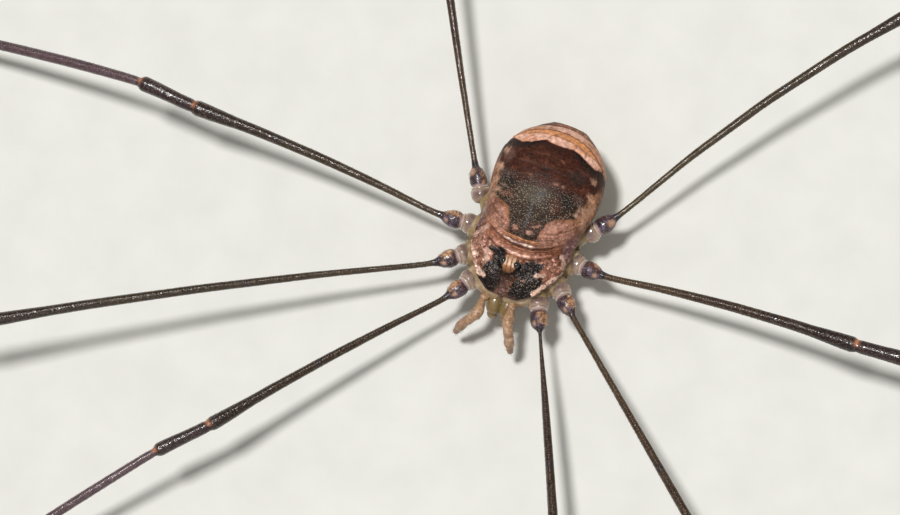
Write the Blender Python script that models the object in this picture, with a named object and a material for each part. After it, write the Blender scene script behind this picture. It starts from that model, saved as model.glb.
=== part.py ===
"""A long-legged harvestman at its real size, one solid for each part of its body.

It stands low on a level floor with its head towards -Y and its left side towards +X. The floor is
z = 0 and the origin is on it, under the middle of the leg span. Sizes are millimetres and angles
degrees; MM turns millimetres into metres. A bearing is measured outwards from straight ahead on
the leg's own side, and a rise upwards from level.
"""
import math

import bmesh
import bpy
from mathutils import Vector

MM = 0.001

# Trunk
BODY_AT = (0.88, -2.39)  # middle of the eight hips, from the middle of the leg span
TRUNK_X = 0.07  # the back lies a little to the animal's left of the hips
# Stations along the body: y, half width, height of the top, of the widest line and of the belly
CARAPACE_STATIONS = (
    (-2.80, 0.50, 1.98, 1.86, 1.74),
    (-2.62, 0.74, 2.08, 1.88, 1.72),
    (-2.30, 1.02, 2.20, 1.90, 1.72),
    (-1.92, 1.27, 2.32, 1.92, 1.72),
    (-1.50, 1.52, 2.42, 1.94, 1.72),
    (-1.28, 1.50, 2.47, 1.96, 1.72),
)
ABDOMEN_STATIONS = (
    (-1.22, 1.47, 2.48, 1.97, 1.74),
    (-0.90, 1.42, 2.63, 2.00, 1.74),
    (-0.40, 1.54, 2.87, 2.02, 1.74),
    (0.10, 1.65, 3.07, 2.00, 1.74),
    (0.62, 1.73, 3.18, 1.97, 0.95),
    (1.10, 1.72, 3.18, 1.95, 0.68),
    (1.60, 1.60, 3.06, 1.94, 0.66),
    (2.10, 1.35, 2.80, 1.93, 0.82),
    (2.50, 0.95, 2.46, 1.90, 1.10),
    (2.78, 0.48, 2.13, 1.86, 1.45),
)
TRUNK_RINGS_PER_STATION = 2
TRUNK_SIDES = 24

# Eye mound and eyes
MOUND_Y = -1.91
MOUND_LENGTH = 0.46
MOUND_HALF_WIDTH = 0.15
MOUND_BASE_Z = 2.37
MOUND_TOP_Z = 2.66
EYE_RADIUS = 0.11
EYE_Z = 2.52
EYE_SIDES = 12
FIT_GAP = 0.03  # between small parts that touch

# Plate of the eight coxae
PLATE_CENTRE = (0.0, -1.2)
COXA_RADIUS = 0.25
COXA_Z = 1.45
PLATE_TOP_Z = 1.69
PLATE_KEEL_Z = 0.86
COXA_SPREAD = 1.9  # how far round its round end each coxa shows, in radians either way
COXA_STEPS = 4
PLATE_NICK = 0.86  # how far out the nick between two coxae lies, as a part of the way to the hips
PLATE_NICK_SIDE = 0.97  # the same between two coxae of one side, where pale skin fills the gap
PLATE_NICK_REACH = 1.72

# Mouthparts
CHELICERA_X = 0.2
CHELICERA_FROM = (-2.62, 1.16)
CHELICERA_TO = (-3.26, 0.98)
CHELICERA_RADII = (0.15, 0.19, 0.18, 0.12)
PALP_RADIUS = 0.25
PALP_ROUTES = {
    # each palp's points: x, y, z
    "palp_left": ((0.44, -2.98, 1.53), (0.55, -3.50, 1.60), (0.76, -4.02, 1.32), (0.98, -4.36, 0.86)),
    "palp_right": ((-0.46, -2.98, 1.53), (-0.46, -3.52, 1.60), (-0.82, -4.00, 1.32), (-1.24, -4.24, 0.86)),
}

# Legs: lengths of femur, patella, tibia, metatarsus and tarsus in each pair
LEG_LENGTHS = {
    1: (8.15, 1.75, 7.2, 8.0, 10.5),
    2: (14.2, 2.0, 12.2, 12.0, 16.0),
    3: (8.1, 1.8, 6.8, 9.0, 11.0),
    4: (11.4, 1.9, 8.8, 12.6, 14.0),
}
# Rise at the start and end of femur, patella and tibia; the metatarsus then runs down to the floor
LEG_RISES = {
    1: ((11.0, 5.0), (3.0, 0.0), (-8.0, -12.0)),
    2: ((11.0, 5.0), (3.0, 0.0), (-7.0, -10.0)),
    3: ((11.0, 5.0), (3.0, 0.0), (-10.0, -12.0)),
    4: ((11.0, 5.0), (3.0, 0.0), (-8.0, -11.0)),
}
# Hip x and y, trochanter bearing, then the bearings at both ends of the five runs that follow
LEG_POSES = {
    "left_1": ((1.13, -2.53), 25.3, ((27.4, 25.8), (25, 25), (25, 28), (29, 32), (36, 100))),
    "left_2": ((1.60, -1.92), 45.1, ((50.4, 50.3), (52, 52), (54, 57), (60, 64), (70, 152))),
    "left_3": ((1.75, -0.98), 81.7, ((97.0, 89.4), (94.8, 94.8), (96, 97), (98, 100), (104, 150))),
    "left_4": ((1.76, 0.06), 139.3, ((150.5, 138.5), (137, 137), (137, 135), (134, 130), (125, 60))),
    "right_1": ((-1.08, -2.55), 25.5, ((39.4, 35.4), (42.5, 42.5), (38.6, 38), (39, 41), (45, 108))),
    "right_2": ((-1.55, -1.88), 45.7, ((61.0, 57.3), (59, 59), (60, 62), (64, 68), (74, 158))),
    "right_3": ((-1.75, -0.94), 80.3, ((95.2, 88.3), (94.8, 94.8), (88.7, 84), (83, 80), (76, 30))),
    "right_4": ((-1.76, 0.00), 146.3, ((149.4, 151.8), (151, 151), (150, 148), (147, 143), (138, 72))),
}
HIPS_IN_TURN = ("left_1", "left_2", "left_3", "left_4", "right_4", "right_3", "right_2", "right_1")
RUN_NAMES = ("femur", "patella", "tibia", "metatarsus", "tarsus")
RUN_RINGS = (5, 3, 4, 4, 8)
RUN_RADII = ((0.27, 0.29), (0.28, 0.31), (0.28, 0.27), (0.27, 0.27), (0.27, 0.27))
TROCHANTER_RISE = 10.0
TROCHANTER_START = 0.28  # from the hip's middle
TROCHANTER_LENGTH = 0.62
TROCHANTER_RADII = (0.27, 0.29, 0.3, 0.29, 0.27)
JOINT_GAP = 0.08
LEG_SIDES = 8
FLAT_RATIO = math.cos(math.pi / LEG_SIDES)  # a ring's flat side is this part of its radius away
FOOT_HEIGHT = RUN_RADII[-1][0] * FLAT_RATIO  # puts the tarsus's flat underside on the floor

# Colour, roughness and metallic value of each kind of part
FINISHES = {
    "carapace": ((0.29, 0.15, 0.10), 0.45, 0.3),
    "abdomen": ((0.09, 0.045, 0.03), 0.5, 0.1),
    "eye_mound": ((0.45, 0.27, 0.12), 0.45, 0.1),
    "eye": ((0.006, 0.006, 0.008), 0.12, 0.0),
    "coxae": ((0.50, 0.42, 0.25), 0.4, 0.0),
    "chelicera": ((0.55, 0.47, 0.27), 0.4, 0.0),
    "palp": ((0.50, 0.31, 0.20), 0.5, 0.0),
    "trochanter": ((0.07, 0.045, 0.06), 0.4, 0.0),
    "femur": ((0.085, 0.06, 0.045), 0.4, 0.0),
    "patella": ((0.03, 0.02, 0.02), 0.35, 0.0),
    "tibia": ((0.10, 0.06, 0.05), 0.4, 0.0),
    "metatarsus": ((0.12, 0.08, 0.06), 0.45, 0.0),
    "tarsus": ((0.10, 0.07, 0.055), 0.5, 0.0),
}


def clear_scene():
    for item in list(bpy.data.objects):
        bpy.data.objects.remove(item)


def finish(kind):
    """The material of one kind of part, made the first time it is asked for."""
    made = bpy.data.materials.get(kind)
    if made:
        return made
    colour, roughness, metallic = FINISHES[kind]
    made = bpy.data.materials.new(kind)
    made.use_nodes = True
    shader = made.node_tree.nodes["Principled BSDF"]
    shader.inputs["Base Color"].default_value = (*colour, 1.0)
    shader.inputs["Roughness"].default_value = roughness
    shader.inputs["Metallic"].default_value = metallic
    return made


def skin_rings(name, kind, rings):
    """Join rings of points, in millimetres round the body's own middle, into one closed solid."""
    shape = bmesh.new()
    loops = []
    for ring in rings:
        loops.append([shape.verts.new((point + Vector((*BODY_AT, 0.0))) * MM) for point in ring])
    count = len(loops[0])
    for near, far in zip(loops, loops[1:]):
        for k in range(count):
            after = (k + 1) % count
            shape.faces.new((near[k], near[after], far[after], far[k]))
    shape.faces.new(list(reversed(loops[0])))
    shape.faces.new(loops[-1])
    bmesh.ops.triangulate(shape, faces=shape.faces[:])
    bmesh.ops.recalc_face_normals(shape, faces=shape.faces[:])
    mesh = bpy.data.meshes.new(name)
    shape.to_mesh(mesh)
    shape.free()
    mesh.shade_smooth()
    mesh.set_sharp_from_angle(angle=math.radians(50))
    mesh.materials.append(finish(kind))
    made = bpy.data.objects.new(name, mesh)
    bpy.context.scene.collection.objects.link(made)
    return made


def smooth_rows(rows, per_step):
    """Rows of numbers read from a smooth curve through the given rows (Catmull-Rom)."""
    ends = (rows[0], *rows, rows[-1])
    result = []
    for i in range(len(rows) - 1):
        a, b, c, d = ends[i : i + 4]
        for step in range(per_step):
            t = step / per_step
            result.append(
                tuple(
                    0.5 * (2 * q + (r - p) * t + (2 * p - 5 * q + 4 * r - s) * t**2
                           + (3 * q - p - 3 * r + s) * t**3)
                    for p, q, r, s in zip(a, b, c, d)
                )
            )
    return (*result, rows[-1])


def trunk_ring(station):
    """An upper and a lower half ellipse that meet on the widest line."""
    y, half_width, top, side, belly = station
    ring = []
    for k in range(TRUNK_SIDES):
        angle = 2 * math.pi * (k + 0.5) / TRUNK_SIDES
        height = top - side if math.sin(angle) > 0 else side - belly
        ring.append(Vector((TRUNK_X + half_width * math.cos(angle), y, side + height * math.sin(angle))))
    return ring


def make_trunk():
    for name, stations in (("carapace", CARAPACE_STATIONS), ("abdomen", ABDOMEN_STATIONS)):
        rows = smooth_rows(stations, TRUNK_RINGS_PER_STATION)
        skin_rings(name, name, [trunk_ring(row) for row in rows])


def eye_ring(foot, side, tilt):
    """A circle of latitude of the dome that stands sideways on the mound."""
    radius = EYE_RADIUS * math.cos(tilt)
    out = side * EYE_RADIUS * math.sin(tilt)
    ring = []
    for k in range(EYE_SIDES):
        angle = 2 * math.pi * k / EYE_SIDES
        ring.append(foot + Vector((out, radius * math.cos(angle), radius * math.sin(angle))))
    return ring


def make_eyes():
    """A rounded block across the midline, with a dome on each of its upright sides."""
    rings = []
    steps = 6
    for i in range(steps + 1):
        along = math.cos(math.pi * (i + 0.35) / (steps + 0.7))
        rise = (MOUND_TOP_Z - MOUND_BASE_Z) * math.sqrt(1.0 - 0.75 * along**2)
        y = MOUND_Y - along * MOUND_LENGTH / 2
        rings.append(
            [
                Vector((TRUNK_X + MOUND_HALF_WIDTH * across, y, MOUND_BASE_Z + rise * up))
                for across, up in ((-1, 0), (1, 0), (1, 0.75), (0.55, 1), (-0.55, 1), (-1, 0.75))
            ]
        )
    skin_rings("eye_mound", "eye_mound", rings)
    for name, side in (("eye_left", 1), ("eye_right", -1)):
        foot = Vector((TRUNK_X + side * (MOUND_HALF_WIDTH + FIT_GAP), MOUND_Y, EYE_Z))
        skin_rings(name, "eye", [eye_ring(foot, side, math.radians(tilt)) for tilt in (0, 30, 60, 80)])


def plate_ring(height, fullness, shrink):
    """The outline of the eight coxae at one height: a round end at each hip, a nick between two."""
    centre = Vector((*PLATE_CENTRE, height))
    hips = [Vector((*LEG_POSES[leg][0], height)) for leg in HIPS_IN_TURN]
    ring = []
    for i, hip in enumerate(hips):
        out = (hip - centre).normalized()
        across = Vector((-out.y, out.x, 0.0))
        for step in range(-COXA_STEPS, COXA_STEPS + 1):
            turn = COXA_SPREAD * step / COXA_STEPS
            ring.append(hip + (out * math.cos(turn) + across * math.sin(turn)) * COXA_RADIUS * fullness)
        following = hips[(i + 1) % len(hips)]
        between = (hip + following) / 2 - centre
        part_way = PLATE_NICK_SIDE if hip.x * following.x > 0 else PLATE_NICK
        nick = min(between.length * part_way, PLATE_NICK_REACH)
        ring.append(centre + between.normalized() * nick)
    return [centre + (point - centre) * shrink for point in ring]


def make_coxae():
    """The coxae as one plate, thick in the middle, that the eight legs leave from."""
    rings = []
    for height, shrink in ((PLATE_KEEL_Z, 0.45), (PLATE_KEEL_Z + 0.14, 0.62), (COXA_Z - 0.24, 0.92)):
        rings.append(plate_ring(height, 0.55, shrink))
    for tilt in (-40, 0, 40, 72):
        height = COXA_Z + COXA_RADIUS * math.sin(math.radians(tilt))
        rings.append(plate_ring(min(height, PLATE_TOP_Z), math.cos(math.radians(tilt)), 1.0))
    skin_rings("coxae", "coxae", rings)


def tube_ring(centre, heading, radius):
    """One ring of a limb, turned so that a flat side faces down."""
    across = heading.cross(Vector((0.0, 0.0, 1.0))).normalized()
    up = across.cross(heading).normalized()
    ring = []
    for k in range(LEG_SIDES):
        angle = 2 * math.pi * (k + 0.5) / LEG_SIDES
        ring.append(centre + (across * math.cos(angle) + up * math.sin(angle)) * radius)
    return ring


def make_tube(name, kind, points, radii):
    """A limb through the given points; each ring faces along the mean of its two runs."""
    rings = []
    for i, point in enumerate(points):
        heading = (points[min(i + 1, len(points) - 1)] - points[max(i - 1, 0)]).normalized()
        rings.append(tube_ring(point, heading, radii[i]))
    skin_rings(name, kind, rings)


def make_mouthparts():
    for name, side in (("chelicera_left", 1), ("chelicera_right", -1)):
        x = TRUNK_X + side * CHELICERA_X
        start = Vector((x, *CHELICERA_FROM))
        end = Vector((x, *CHELICERA_TO))
        last = len(CHELICERA_RADII) - 1
        points = [start.lerp(end, i / last) for i in range(last + 1)]
        make_tube(name, "chelicera", points, CHELICERA_RADII)
    for name, route in PALP_ROUTES.items():
        rows = smooth_rows(route, 3)
        make_tube(name, "palp", [Vector(row) for row in rows], [PALP_RADIUS] * len(rows))


def direction(side, bearing, rise):
    turn, lift = math.radians(bearing), math.radians(rise)
    return Vector((side * math.sin(turn) * math.cos(lift), -math.cos(turn) * math.cos(lift), math.sin(lift)))


def run_points(start, side, length, bearings, rises, count):
    """Points evenly along a limb whose bearing and rise change evenly from end to end."""
    points = [start]
    for i in range(count - 1):
        t = (i + 0.5) / (count - 1)
        heading = direction(
            side,
            bearings[0] + (bearings[1] - bearings[0]) * t,
            rises[0] + (rises[1] - rises[0]) * t,
        )
        points.append(points[-1] + heading * (length / (count - 1)))
    return points


def shortened(points, gap):
    """The same run with half a joint's gap taken off each end."""
    near = (points[1] - points[0]).normalized() * gap / 2
    far = (points[-1] - points[-2]).normalized() * gap / 2
    return [points[0] + near, *points[1:-1], points[-1] - far]


def make_leg(leg):
    side = 1 if leg.startswith("left") else -1
    pair = int(leg[-1])
    hip, trochanter_bearing, bearings = LEG_POSES[leg]
    out = direction(side, trochanter_bearing, TROCHANTER_RISE)
    start = Vector((*hip, COXA_Z)) + out * TROCHANTER_START
    end = start + out * TROCHANTER_LENGTH
    last = len(TROCHANTER_RADII) - 1
    barrel = [start.lerp(end, i / last) for i in range(last + 1)]
    make_tube(f"trochanter_{leg}", "trochanter", shortened(barrel, JOINT_GAP), TROCHANTER_RADII)
    for i, run in enumerate(RUN_NAMES):
        length = LEG_LENGTHS[pair][i]
        if run == "metatarsus":
            slope = math.degrees(math.asin((FOOT_HEIGHT - end.z) / length))
            rises = (slope, slope)
        elif run == "tarsus":
            rises = (0.0, 0.0)
        else:
            rises = LEG_RISES[pair][i]
        rings = RUN_RINGS[i]
        points = run_points(end, side, length, bearings[i], rises, rings)
        end = points[-1]
        near, far = RUN_RADII[i]
        radii = [near + (far - near) * k / (rings - 1) for k in range(rings)]
        make_tube(f"{run}_{leg}", run, shortened(points, JOINT_GAP), radii)


def main():
    clear_scene()
    make_trunk()
    make_eyes()
    make_coxae()
    make_mouthparts()
    for leg in LEG_POSES:
        make_leg(leg)


main()
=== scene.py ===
"""The looks of a long-legged harvestman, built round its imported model.

The animal stands on a pale floor with its head towards -Y and its left side towards +X. Sizes are
millimetres in the body's own place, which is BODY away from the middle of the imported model, and
MM turns them into metres. Skins are grids of rings, and their colours are worked out point by point.
"""
import math
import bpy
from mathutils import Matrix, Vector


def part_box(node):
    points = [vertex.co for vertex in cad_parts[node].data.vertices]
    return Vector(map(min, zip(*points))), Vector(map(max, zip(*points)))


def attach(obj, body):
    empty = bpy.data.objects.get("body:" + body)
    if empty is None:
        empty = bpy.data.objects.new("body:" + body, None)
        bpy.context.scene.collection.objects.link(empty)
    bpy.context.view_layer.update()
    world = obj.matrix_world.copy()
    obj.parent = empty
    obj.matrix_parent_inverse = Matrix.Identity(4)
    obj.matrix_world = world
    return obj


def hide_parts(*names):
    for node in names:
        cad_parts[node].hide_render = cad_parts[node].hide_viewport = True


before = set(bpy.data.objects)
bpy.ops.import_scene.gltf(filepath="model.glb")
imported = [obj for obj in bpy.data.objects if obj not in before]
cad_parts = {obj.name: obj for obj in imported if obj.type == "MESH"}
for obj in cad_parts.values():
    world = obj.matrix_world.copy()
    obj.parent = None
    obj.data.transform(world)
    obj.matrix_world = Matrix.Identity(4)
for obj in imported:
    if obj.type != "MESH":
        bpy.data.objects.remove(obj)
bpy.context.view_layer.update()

from types import SimpleNamespace

import bpy
import numpy as np
from mathutils import Matrix

MM = 0.001

# Where the body is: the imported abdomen's middle and rear end
TRUNK_X = 0.07
REAR_Y = 2.78
ABDOMEN_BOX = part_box("abdomen")
ABDOMEN_X = (ABDOMEN_BOX[0].x + ABDOMEN_BOX[1].x) / 2 / MM
BODY = np.array([ABDOMEN_X - TRUNK_X, ABDOMEN_BOX[1].y / MM - REAR_Y, 0.0])

LEGS = ("left_1", "left_2", "left_3", "left_4", "right_1", "right_2", "right_3", "right_4")


# ---------------------------------------------------------------- numbers and noise


def linear(code):
    """An sRGB hex colour as linear red, green and blue."""
    values = np.array([int(code[i : i + 2], 16) for i in (1, 3, 5)]) / 255.0
    return np.where(values <= 0.04045, values / 12.92, ((values + 0.055) / 1.055) ** 2.4)


def smooth(low, high, value):
    """0 below low, 1 above high, and an S curve between (3t^2 - 2t^3)."""
    t = np.clip((value - low) / (high - low), 0.0, 1.0)
    return t * t * (3.0 - 2.0 * t)


def ridge(value, middle, width):
    """A bell of height 1 at middle, that falls off over width (Gauss curve)."""
    return np.exp(-(((value - middle) / width) ** 2))


def plain(code, points):
    """One sRGB hex colour for every point."""
    return np.repeat(linear(code)[None], len(points), axis=0)


def mix(colours, target, amount):
    """Colours moved towards a hex colour, or towards other colours, by an amount for each point."""
    amount = np.clip(amount, 0.0, 1.0)[:, None]
    target = linear(target) if isinstance(target, str) else target
    return colours * (1.0 - amount) + target * amount


def layers(colours, rows):
    """Colours with each row's colour laid over them in turn, by the row's amount for each point."""
    for target, amount in rows:
        colours = mix(colours, target, amount)
    return colours


def scatter(cells, seed):
    """A fixed number from 0 to 1 for each whole-number cell, mixed from its three coordinates."""
    cells = cells.astype(np.int64)
    mixed = cells[..., 0] * 73856093 ^ cells[..., 1] * 19349663 ^ cells[..., 2] * 83492791
    mixed = (mixed ^ (seed * 2654435761)) & 0xFFFFFFFF
    mixed = ((mixed ^ (mixed >> 15)) * 2246822519) & 0xFFFFFFFF
    mixed = ((mixed ^ (mixed >> 13)) * 3266489917) & 0xFFFFFFFF
    return ((mixed ^ (mixed >> 16)) & 0xFFFFFF) / float(0xFFFFFF)


def cloud(points, size, seed, octaves=3):
    """Soft noise from -1 to 1 with features of the given size: cell corners hold fixed numbers,
    which are blended by an S curve along each axis, and finer layers of half the size are added."""
    total = np.zeros(len(points))
    weight = 0.0
    for octave in range(octaves):
        place = points / (size / 2**octave)
        base = np.floor(place)
        t = place - base
        t = t * t * (3.0 - 2.0 * t)
        layer = np.zeros(len(points))
        for corner in np.ndindex(2, 2, 2):
            corner = np.array(corner)
            share = np.prod(np.where(corner == 1, t, 1.0 - t), axis=1)
            layer += share * scatter(base + corner, seed + octave)
        total += (layer * 2.0 - 1.0) / 1.6**octave
        weight += 1.0 / 1.6**octave
    return total / weight * 1.5


def pimples(points, size, seed):
    """For grains strewn one to a cell: the distance to the nearest grain, in cells, and its number."""
    place = points / size
    base = np.floor(place)
    best = np.full(len(points), 9.0)
    number = np.zeros(len(points))
    for step in np.ndindex(3, 3, 3):
        cell = base + np.array(step) - 1
        seeds = np.stack([scatter(cell, seed + k) for k in range(3)], axis=1)
        away = np.linalg.norm(cell + 0.2 + 0.6 * seeds - place, axis=1)
        nearer = away < best
        best = np.where(nearer, away, best)
        number = np.where(nearer, scatter(cell, seed + 7), number)
    return best, number


def through(rows, count):
    """Rows read evenly from a smooth curve through the given rows (Catmull-Rom)."""
    rows = np.asarray(rows, float)
    ends = np.vstack([rows[:1], rows, rows[-1:]])
    at = np.linspace(0, len(rows) - 1, count)
    i = np.minimum(at.astype(int), len(rows) - 2)
    t = (at - i)[:, None]
    a, b, c, d = ends[i], ends[i + 1], ends[i + 2], ends[i + 3]
    return 0.5 * (
        2 * b + (c - a) * t + (2 * a - 5 * b + 4 * c - d) * t**2 + (3 * b - a - 3 * c + d) * t**3
    )


def soften(values, width):
    """Values along a line, each replaced by the bell-weighted mean of its neighbours; ends stay."""
    reach = int(width * 3)
    weights = np.exp(-0.5 * (np.arange(-reach, reach + 1) / width) ** 2)
    weights /= weights.sum()
    first, last = values[:1], values[-1:]
    before, after = 2 * first - values[reach:0:-1], 2 * last - values[-2 : -reach - 2 : -1]
    padded = np.concatenate([before, values, after])
    if values.ndim == 1:
        return np.convolve(padded, weights, "valid")
    return np.stack([np.convolve(padded[:, k], weights, "valid") for k in range(values.shape[1])], axis=1)


# ---------------------------------------------------------------- meshes


def grid_faces(rows, columns):
    """Four-sided faces between neighbouring rings of a closed tube."""
    i, j = np.mgrid[0 : rows - 1, 0:columns]
    a = i * columns + j
    b = i * columns + (j + 1) % columns
    return np.stack([a, b, b + columns, a + columns], axis=-1).reshape(-1, 4)


def grid_map(rows, columns, strips):
    """Places on a flat map for each face's corners: the rings run along, cut into stacked strips."""
    i, j = np.mgrid[0 : rows - 1, 0:columns]
    per_strip = -(-(rows - 1) // strips)
    strip = i // per_strip
    corners = []
    for di, dj in ((0, 0), (0, 1), (1, 1), (1, 0)):
        along = (i - strip * per_strip + di) / per_strip
        up = (strip + 0.02 + 0.96 * (j + dj) / columns) / strips
        corners.append(np.stack([0.002 + 0.996 * along, up], axis=-1))
    return np.stack(corners, axis=2).reshape(-1, 4, 2)


# Spikes: their two rings as (share of the length, share of the width), the corners' angles, a direction
# that no spike follows, and the side of their square on the map
SPIKE_RINGS = ((-0.15, 1.0), (0.55, 0.62))
SPIKE_CORNERS = (0.0, 2.0944, 4.1888)
SPIKE_ASIDE = (0.31, 0.17, 0.93)
SPIKE_ON_MAP = 0.0012


class Shape:
    """Closed skins and small spikes gathered into one mesh, with their colours and places on a map."""

    def __init__(self):
        self.points = []
        self.count = 0
        self.faces = []
        self.maps = []
        self.values = {}

    def add(self, points, face_sets, map_sets, values):
        """Take in points with their faces, the faces' places on the map and the points' values."""
        for faces, places in zip(face_sets, map_sets):
            self.faces.append(np.asarray(faces) + self.count)
            self.maps.append(np.asarray(places))
        self.points.append(points)
        self.count += len(points)
        for name, value in values.items():
            self.values.setdefault(name, []).append(value)

    def add_tube(self, rings, first, last, values, strips=1, square=(0.0, 0.0, 1.0, 1.0)):
        """A closed skin: rings of points, and a fan from each end ring to one point."""
        rows, columns = rings.shape[:2]
        points = np.vstack([rings.reshape(-1, 3), [first, last]])
        faces = grid_faces(rows, columns)
        places = grid_map(rows, columns, strips)
        j = np.arange(columns)
        after = (j + 1) % columns
        tip = rows * columns
        near = np.stack([np.full(columns, tip), after, j], axis=1)
        last_ring = (rows - 1) * columns
        far = np.stack([np.full(columns, tip + 1), last_ring + j, last_ring + after], axis=1)
        ends = places[:columns], places[-columns:]
        near_map = np.stack([ends[0].mean(axis=1), ends[0][:, 1], ends[0][:, 0]], axis=1)
        far_map = np.stack([ends[1].mean(axis=1), ends[1][:, 3], ends[1][:, 2]], axis=1)
        quads = points[faces]
        facing = np.cross(quads[:, 1] - quads[:, 0], quads[:, 2] - quads[:, 0])
        volume = np.einsum("ij,ij->i", quads[:, 0] - points.mean(axis=0), facing).sum()
        sets = [faces, near, far]
        map_sets = [places, near_map, far_map]
        if volume < 0:
            sets = [f[:, ::-1] for f in sets]
            map_sets = [m[:, ::-1] for m in map_sets]
        x, y, wide, high = square
        map_sets = [m * (wide, high) + (x, y) for m in map_sets]
        full = {}
        for name, value in values.items():
            value = value.reshape(rows * columns, -1)
            ends = value[:columns].mean(axis=0), value[-columns:].mean(axis=0)
            full[name] = np.vstack([value, *ends])
        self.add(points, sets, map_sets, full)

    def add_round(self, rings, values, **more):
        """A closed skin whose end points are the middles of its end rings."""
        self.add_tube(rings, rings[0].mean(axis=0), rings[-1].mean(axis=0), values, **more)

    def add_spikes(self, roots, heads, lengths, widths, values, places):
        """Three-sided spikes: a foot ring under the skin, a thinner ring past halfway and a tip."""
        count = len(roots)
        side = np.cross(heads, SPIKE_ASIDE)
        side /= np.linalg.norm(side, axis=1)[:, None] + 1e-9
        other = np.cross(heads, side)
        rings = []
        for share, thick in SPIKE_RINGS:
            middle = roots + heads * (lengths * share)[:, None]
            for turn in SPIKE_CORNERS:
                corner = side * math.cos(turn) + other * math.sin(turn)
                rings.append(middle + corner * (widths * thick)[:, None])
        rings.append(roots + heads * lengths[:, None])
        points = np.stack(rings, axis=1).reshape(-1, 3)
        base = np.arange(count)[:, None] * 7
        quads = np.concatenate([base + q for q in ((0, 1, 4, 3), (1, 2, 5, 4), (2, 0, 3, 5))])
        tris = np.concatenate([base + t for t in ((3, 4, 6), (4, 5, 6), (5, 3, 6), (2, 1, 0))])
        fan = np.array([(0, 0), (1, 0), (1, 1), (0, 1)]) * SPIKE_ON_MAP
        quad_map = np.tile(places, (3, 1))[:, None, :] + fan[None]
        tri_map = np.tile(places, (4, 1))[:, None, :] + fan[None, :3]
        full = {name: np.repeat(value.reshape(count, -1), 7, axis=0) for name, value in values.items()}
        self.add(points, [quads, tris], [quad_map, tri_map], full)

    def finish(self, name, finish, slot, nodes=()):
        """Write the gathered skins into one mesh that rides on the animal."""
        points = (np.vstack(self.points) + BODY) * MM
        faces = [f for faces in self.faces for f in faces.tolist()]
        mesh = bpy.data.meshes.new(name)
        mesh.from_pydata(points.tolist(), [], faces)
        places = np.concatenate([m.reshape(-1, 2) for m in self.maps])
        layer = mesh.uv_layers.new(name="OFBake")
        layer.data.foreach_set("uv", places.astype(np.float32).ravel())
        for key, parts in self.values.items():
            value = np.vstack(parts)
            if value.shape[1] == 3:
                value = np.hstack([value, np.ones((len(value), 1))])
                made = mesh.attributes.new(key, "FLOAT_COLOR", "POINT")
                made.data.foreach_set("color", value.astype(np.float32).ravel())
            else:
                made = mesh.attributes.new(key, "FLOAT", "POINT")
                made.data.foreach_set("value", value.astype(np.float32).ravel())
        mesh.polygons.foreach_set("use_smooth", np.ones(len(faces), bool))
        mesh.materials.append(finish)
        mesh.update()
        piece = bpy.data.objects.new(name, mesh)
        bpy.context.scene.collection.objects.link(piece)
        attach(piece, "root")
        if nodes:
            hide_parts(*nodes)


def unit(vectors):
    """The same directions with a length of one."""
    return vectors / np.linalg.norm(vectors, axis=-1, keepdims=True)


def walked_along(path):
    """How far along a path each of its points is."""
    return np.concatenate([[0], np.cumsum(np.linalg.norm(np.diff(path, axis=0), axis=1))])


def round_turn(columns):
    """Angles spread evenly round a circle."""
    return 2 * math.pi * np.arange(columns) / columns


def path_frames(path):
    """Heading, sideways and upward directions along a path; sideways is heading x straight up."""
    heading = unit(np.gradient(path, axis=0))
    side = unit(np.cross(heading, (0.0, 0.0, 1.0)))
    return heading, side, np.cross(side, heading)


def ring_along(path, radii, columns, profile=None):
    """Rings round a path: the radius at each place, times a factor for the angle round it."""
    heading, side, up = path_frames(path)
    turn = round_turn(columns)
    radius = radii[:, None] * (np.ones(columns) if profile is None else profile(turn))[None]
    rings = (
        path[:, None, :]
        + side[:, None, :] * (radius * np.cos(turn))[:, :, None]
        + up[:, None, :] * (radius * np.sin(turn))[:, :, None]
    )
    return rings, np.broadcast_to(turn, (len(path), columns)), heading, side, up


def dressed(paint, **more):
    """What each point of a skin carries: its colour, and numbers given for all points or for each."""
    carried = {"paint": paint}
    for name, value in more.items():
        carried[name] = np.zeros(len(paint)) + value
    return carried


# ---------------------------------------------------------------- materials


def node(tree, kind, settings=None, **links):
    """Add a node with its settings, and link or set its inputs by name, or as i0, i1 by number."""
    made = tree.nodes.new(kind)
    for key, value in (settings or {}).items():
        setattr(made, key, value)
    for key, value in links.items():
        by_number = key[0] == "i" and key[1:].isdigit()
        socket = made.inputs[int(key[1:]) if by_number else key.replace("_", " ")]
        if isinstance(value, bpy.types.NodeSocket):
            tree.links.new(value, socket)
        else:
            socket.default_value = value
    return made


def new_material(name):
    """An empty material with its output, ready for nodes."""
    made = bpy.data.materials.new(name)
    made.use_nodes = True
    made.node_tree.nodes.clear()
    return made, made.node_tree


def attribute(tree, name, output="Fac"):
    """What a skin's points carry under a name."""
    return node(tree, "ShaderNodeAttribute", {"attribute_name": name}).outputs[output]


def ranged(tree, value, low, high, out_low, out_high):
    """A value stretched from one range to another."""
    return node(tree, "ShaderNodeMapRange", i0=value, i1=low, i2=high, i3=out_low, i4=out_high).outputs[0]


def reckon(tree, operation, *inputs, **settings):
    """A sum, a product, or a product with something added."""
    inputs = {f"i{k}": value for k, value in enumerate(inputs)}
    return node(tree, "ShaderNodeMath", {"operation": operation, **settings}, **inputs).outputs[0]


def blend(tree, kind, amount, first, second):
    """Two colours mixed or multiplied by an amount."""
    settings = {"data_type": "RGBA", "blend_type": kind}
    return node(tree, "ShaderNodeMix", settings, i0=amount, i6=first, i7=second).outputs[2]


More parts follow.
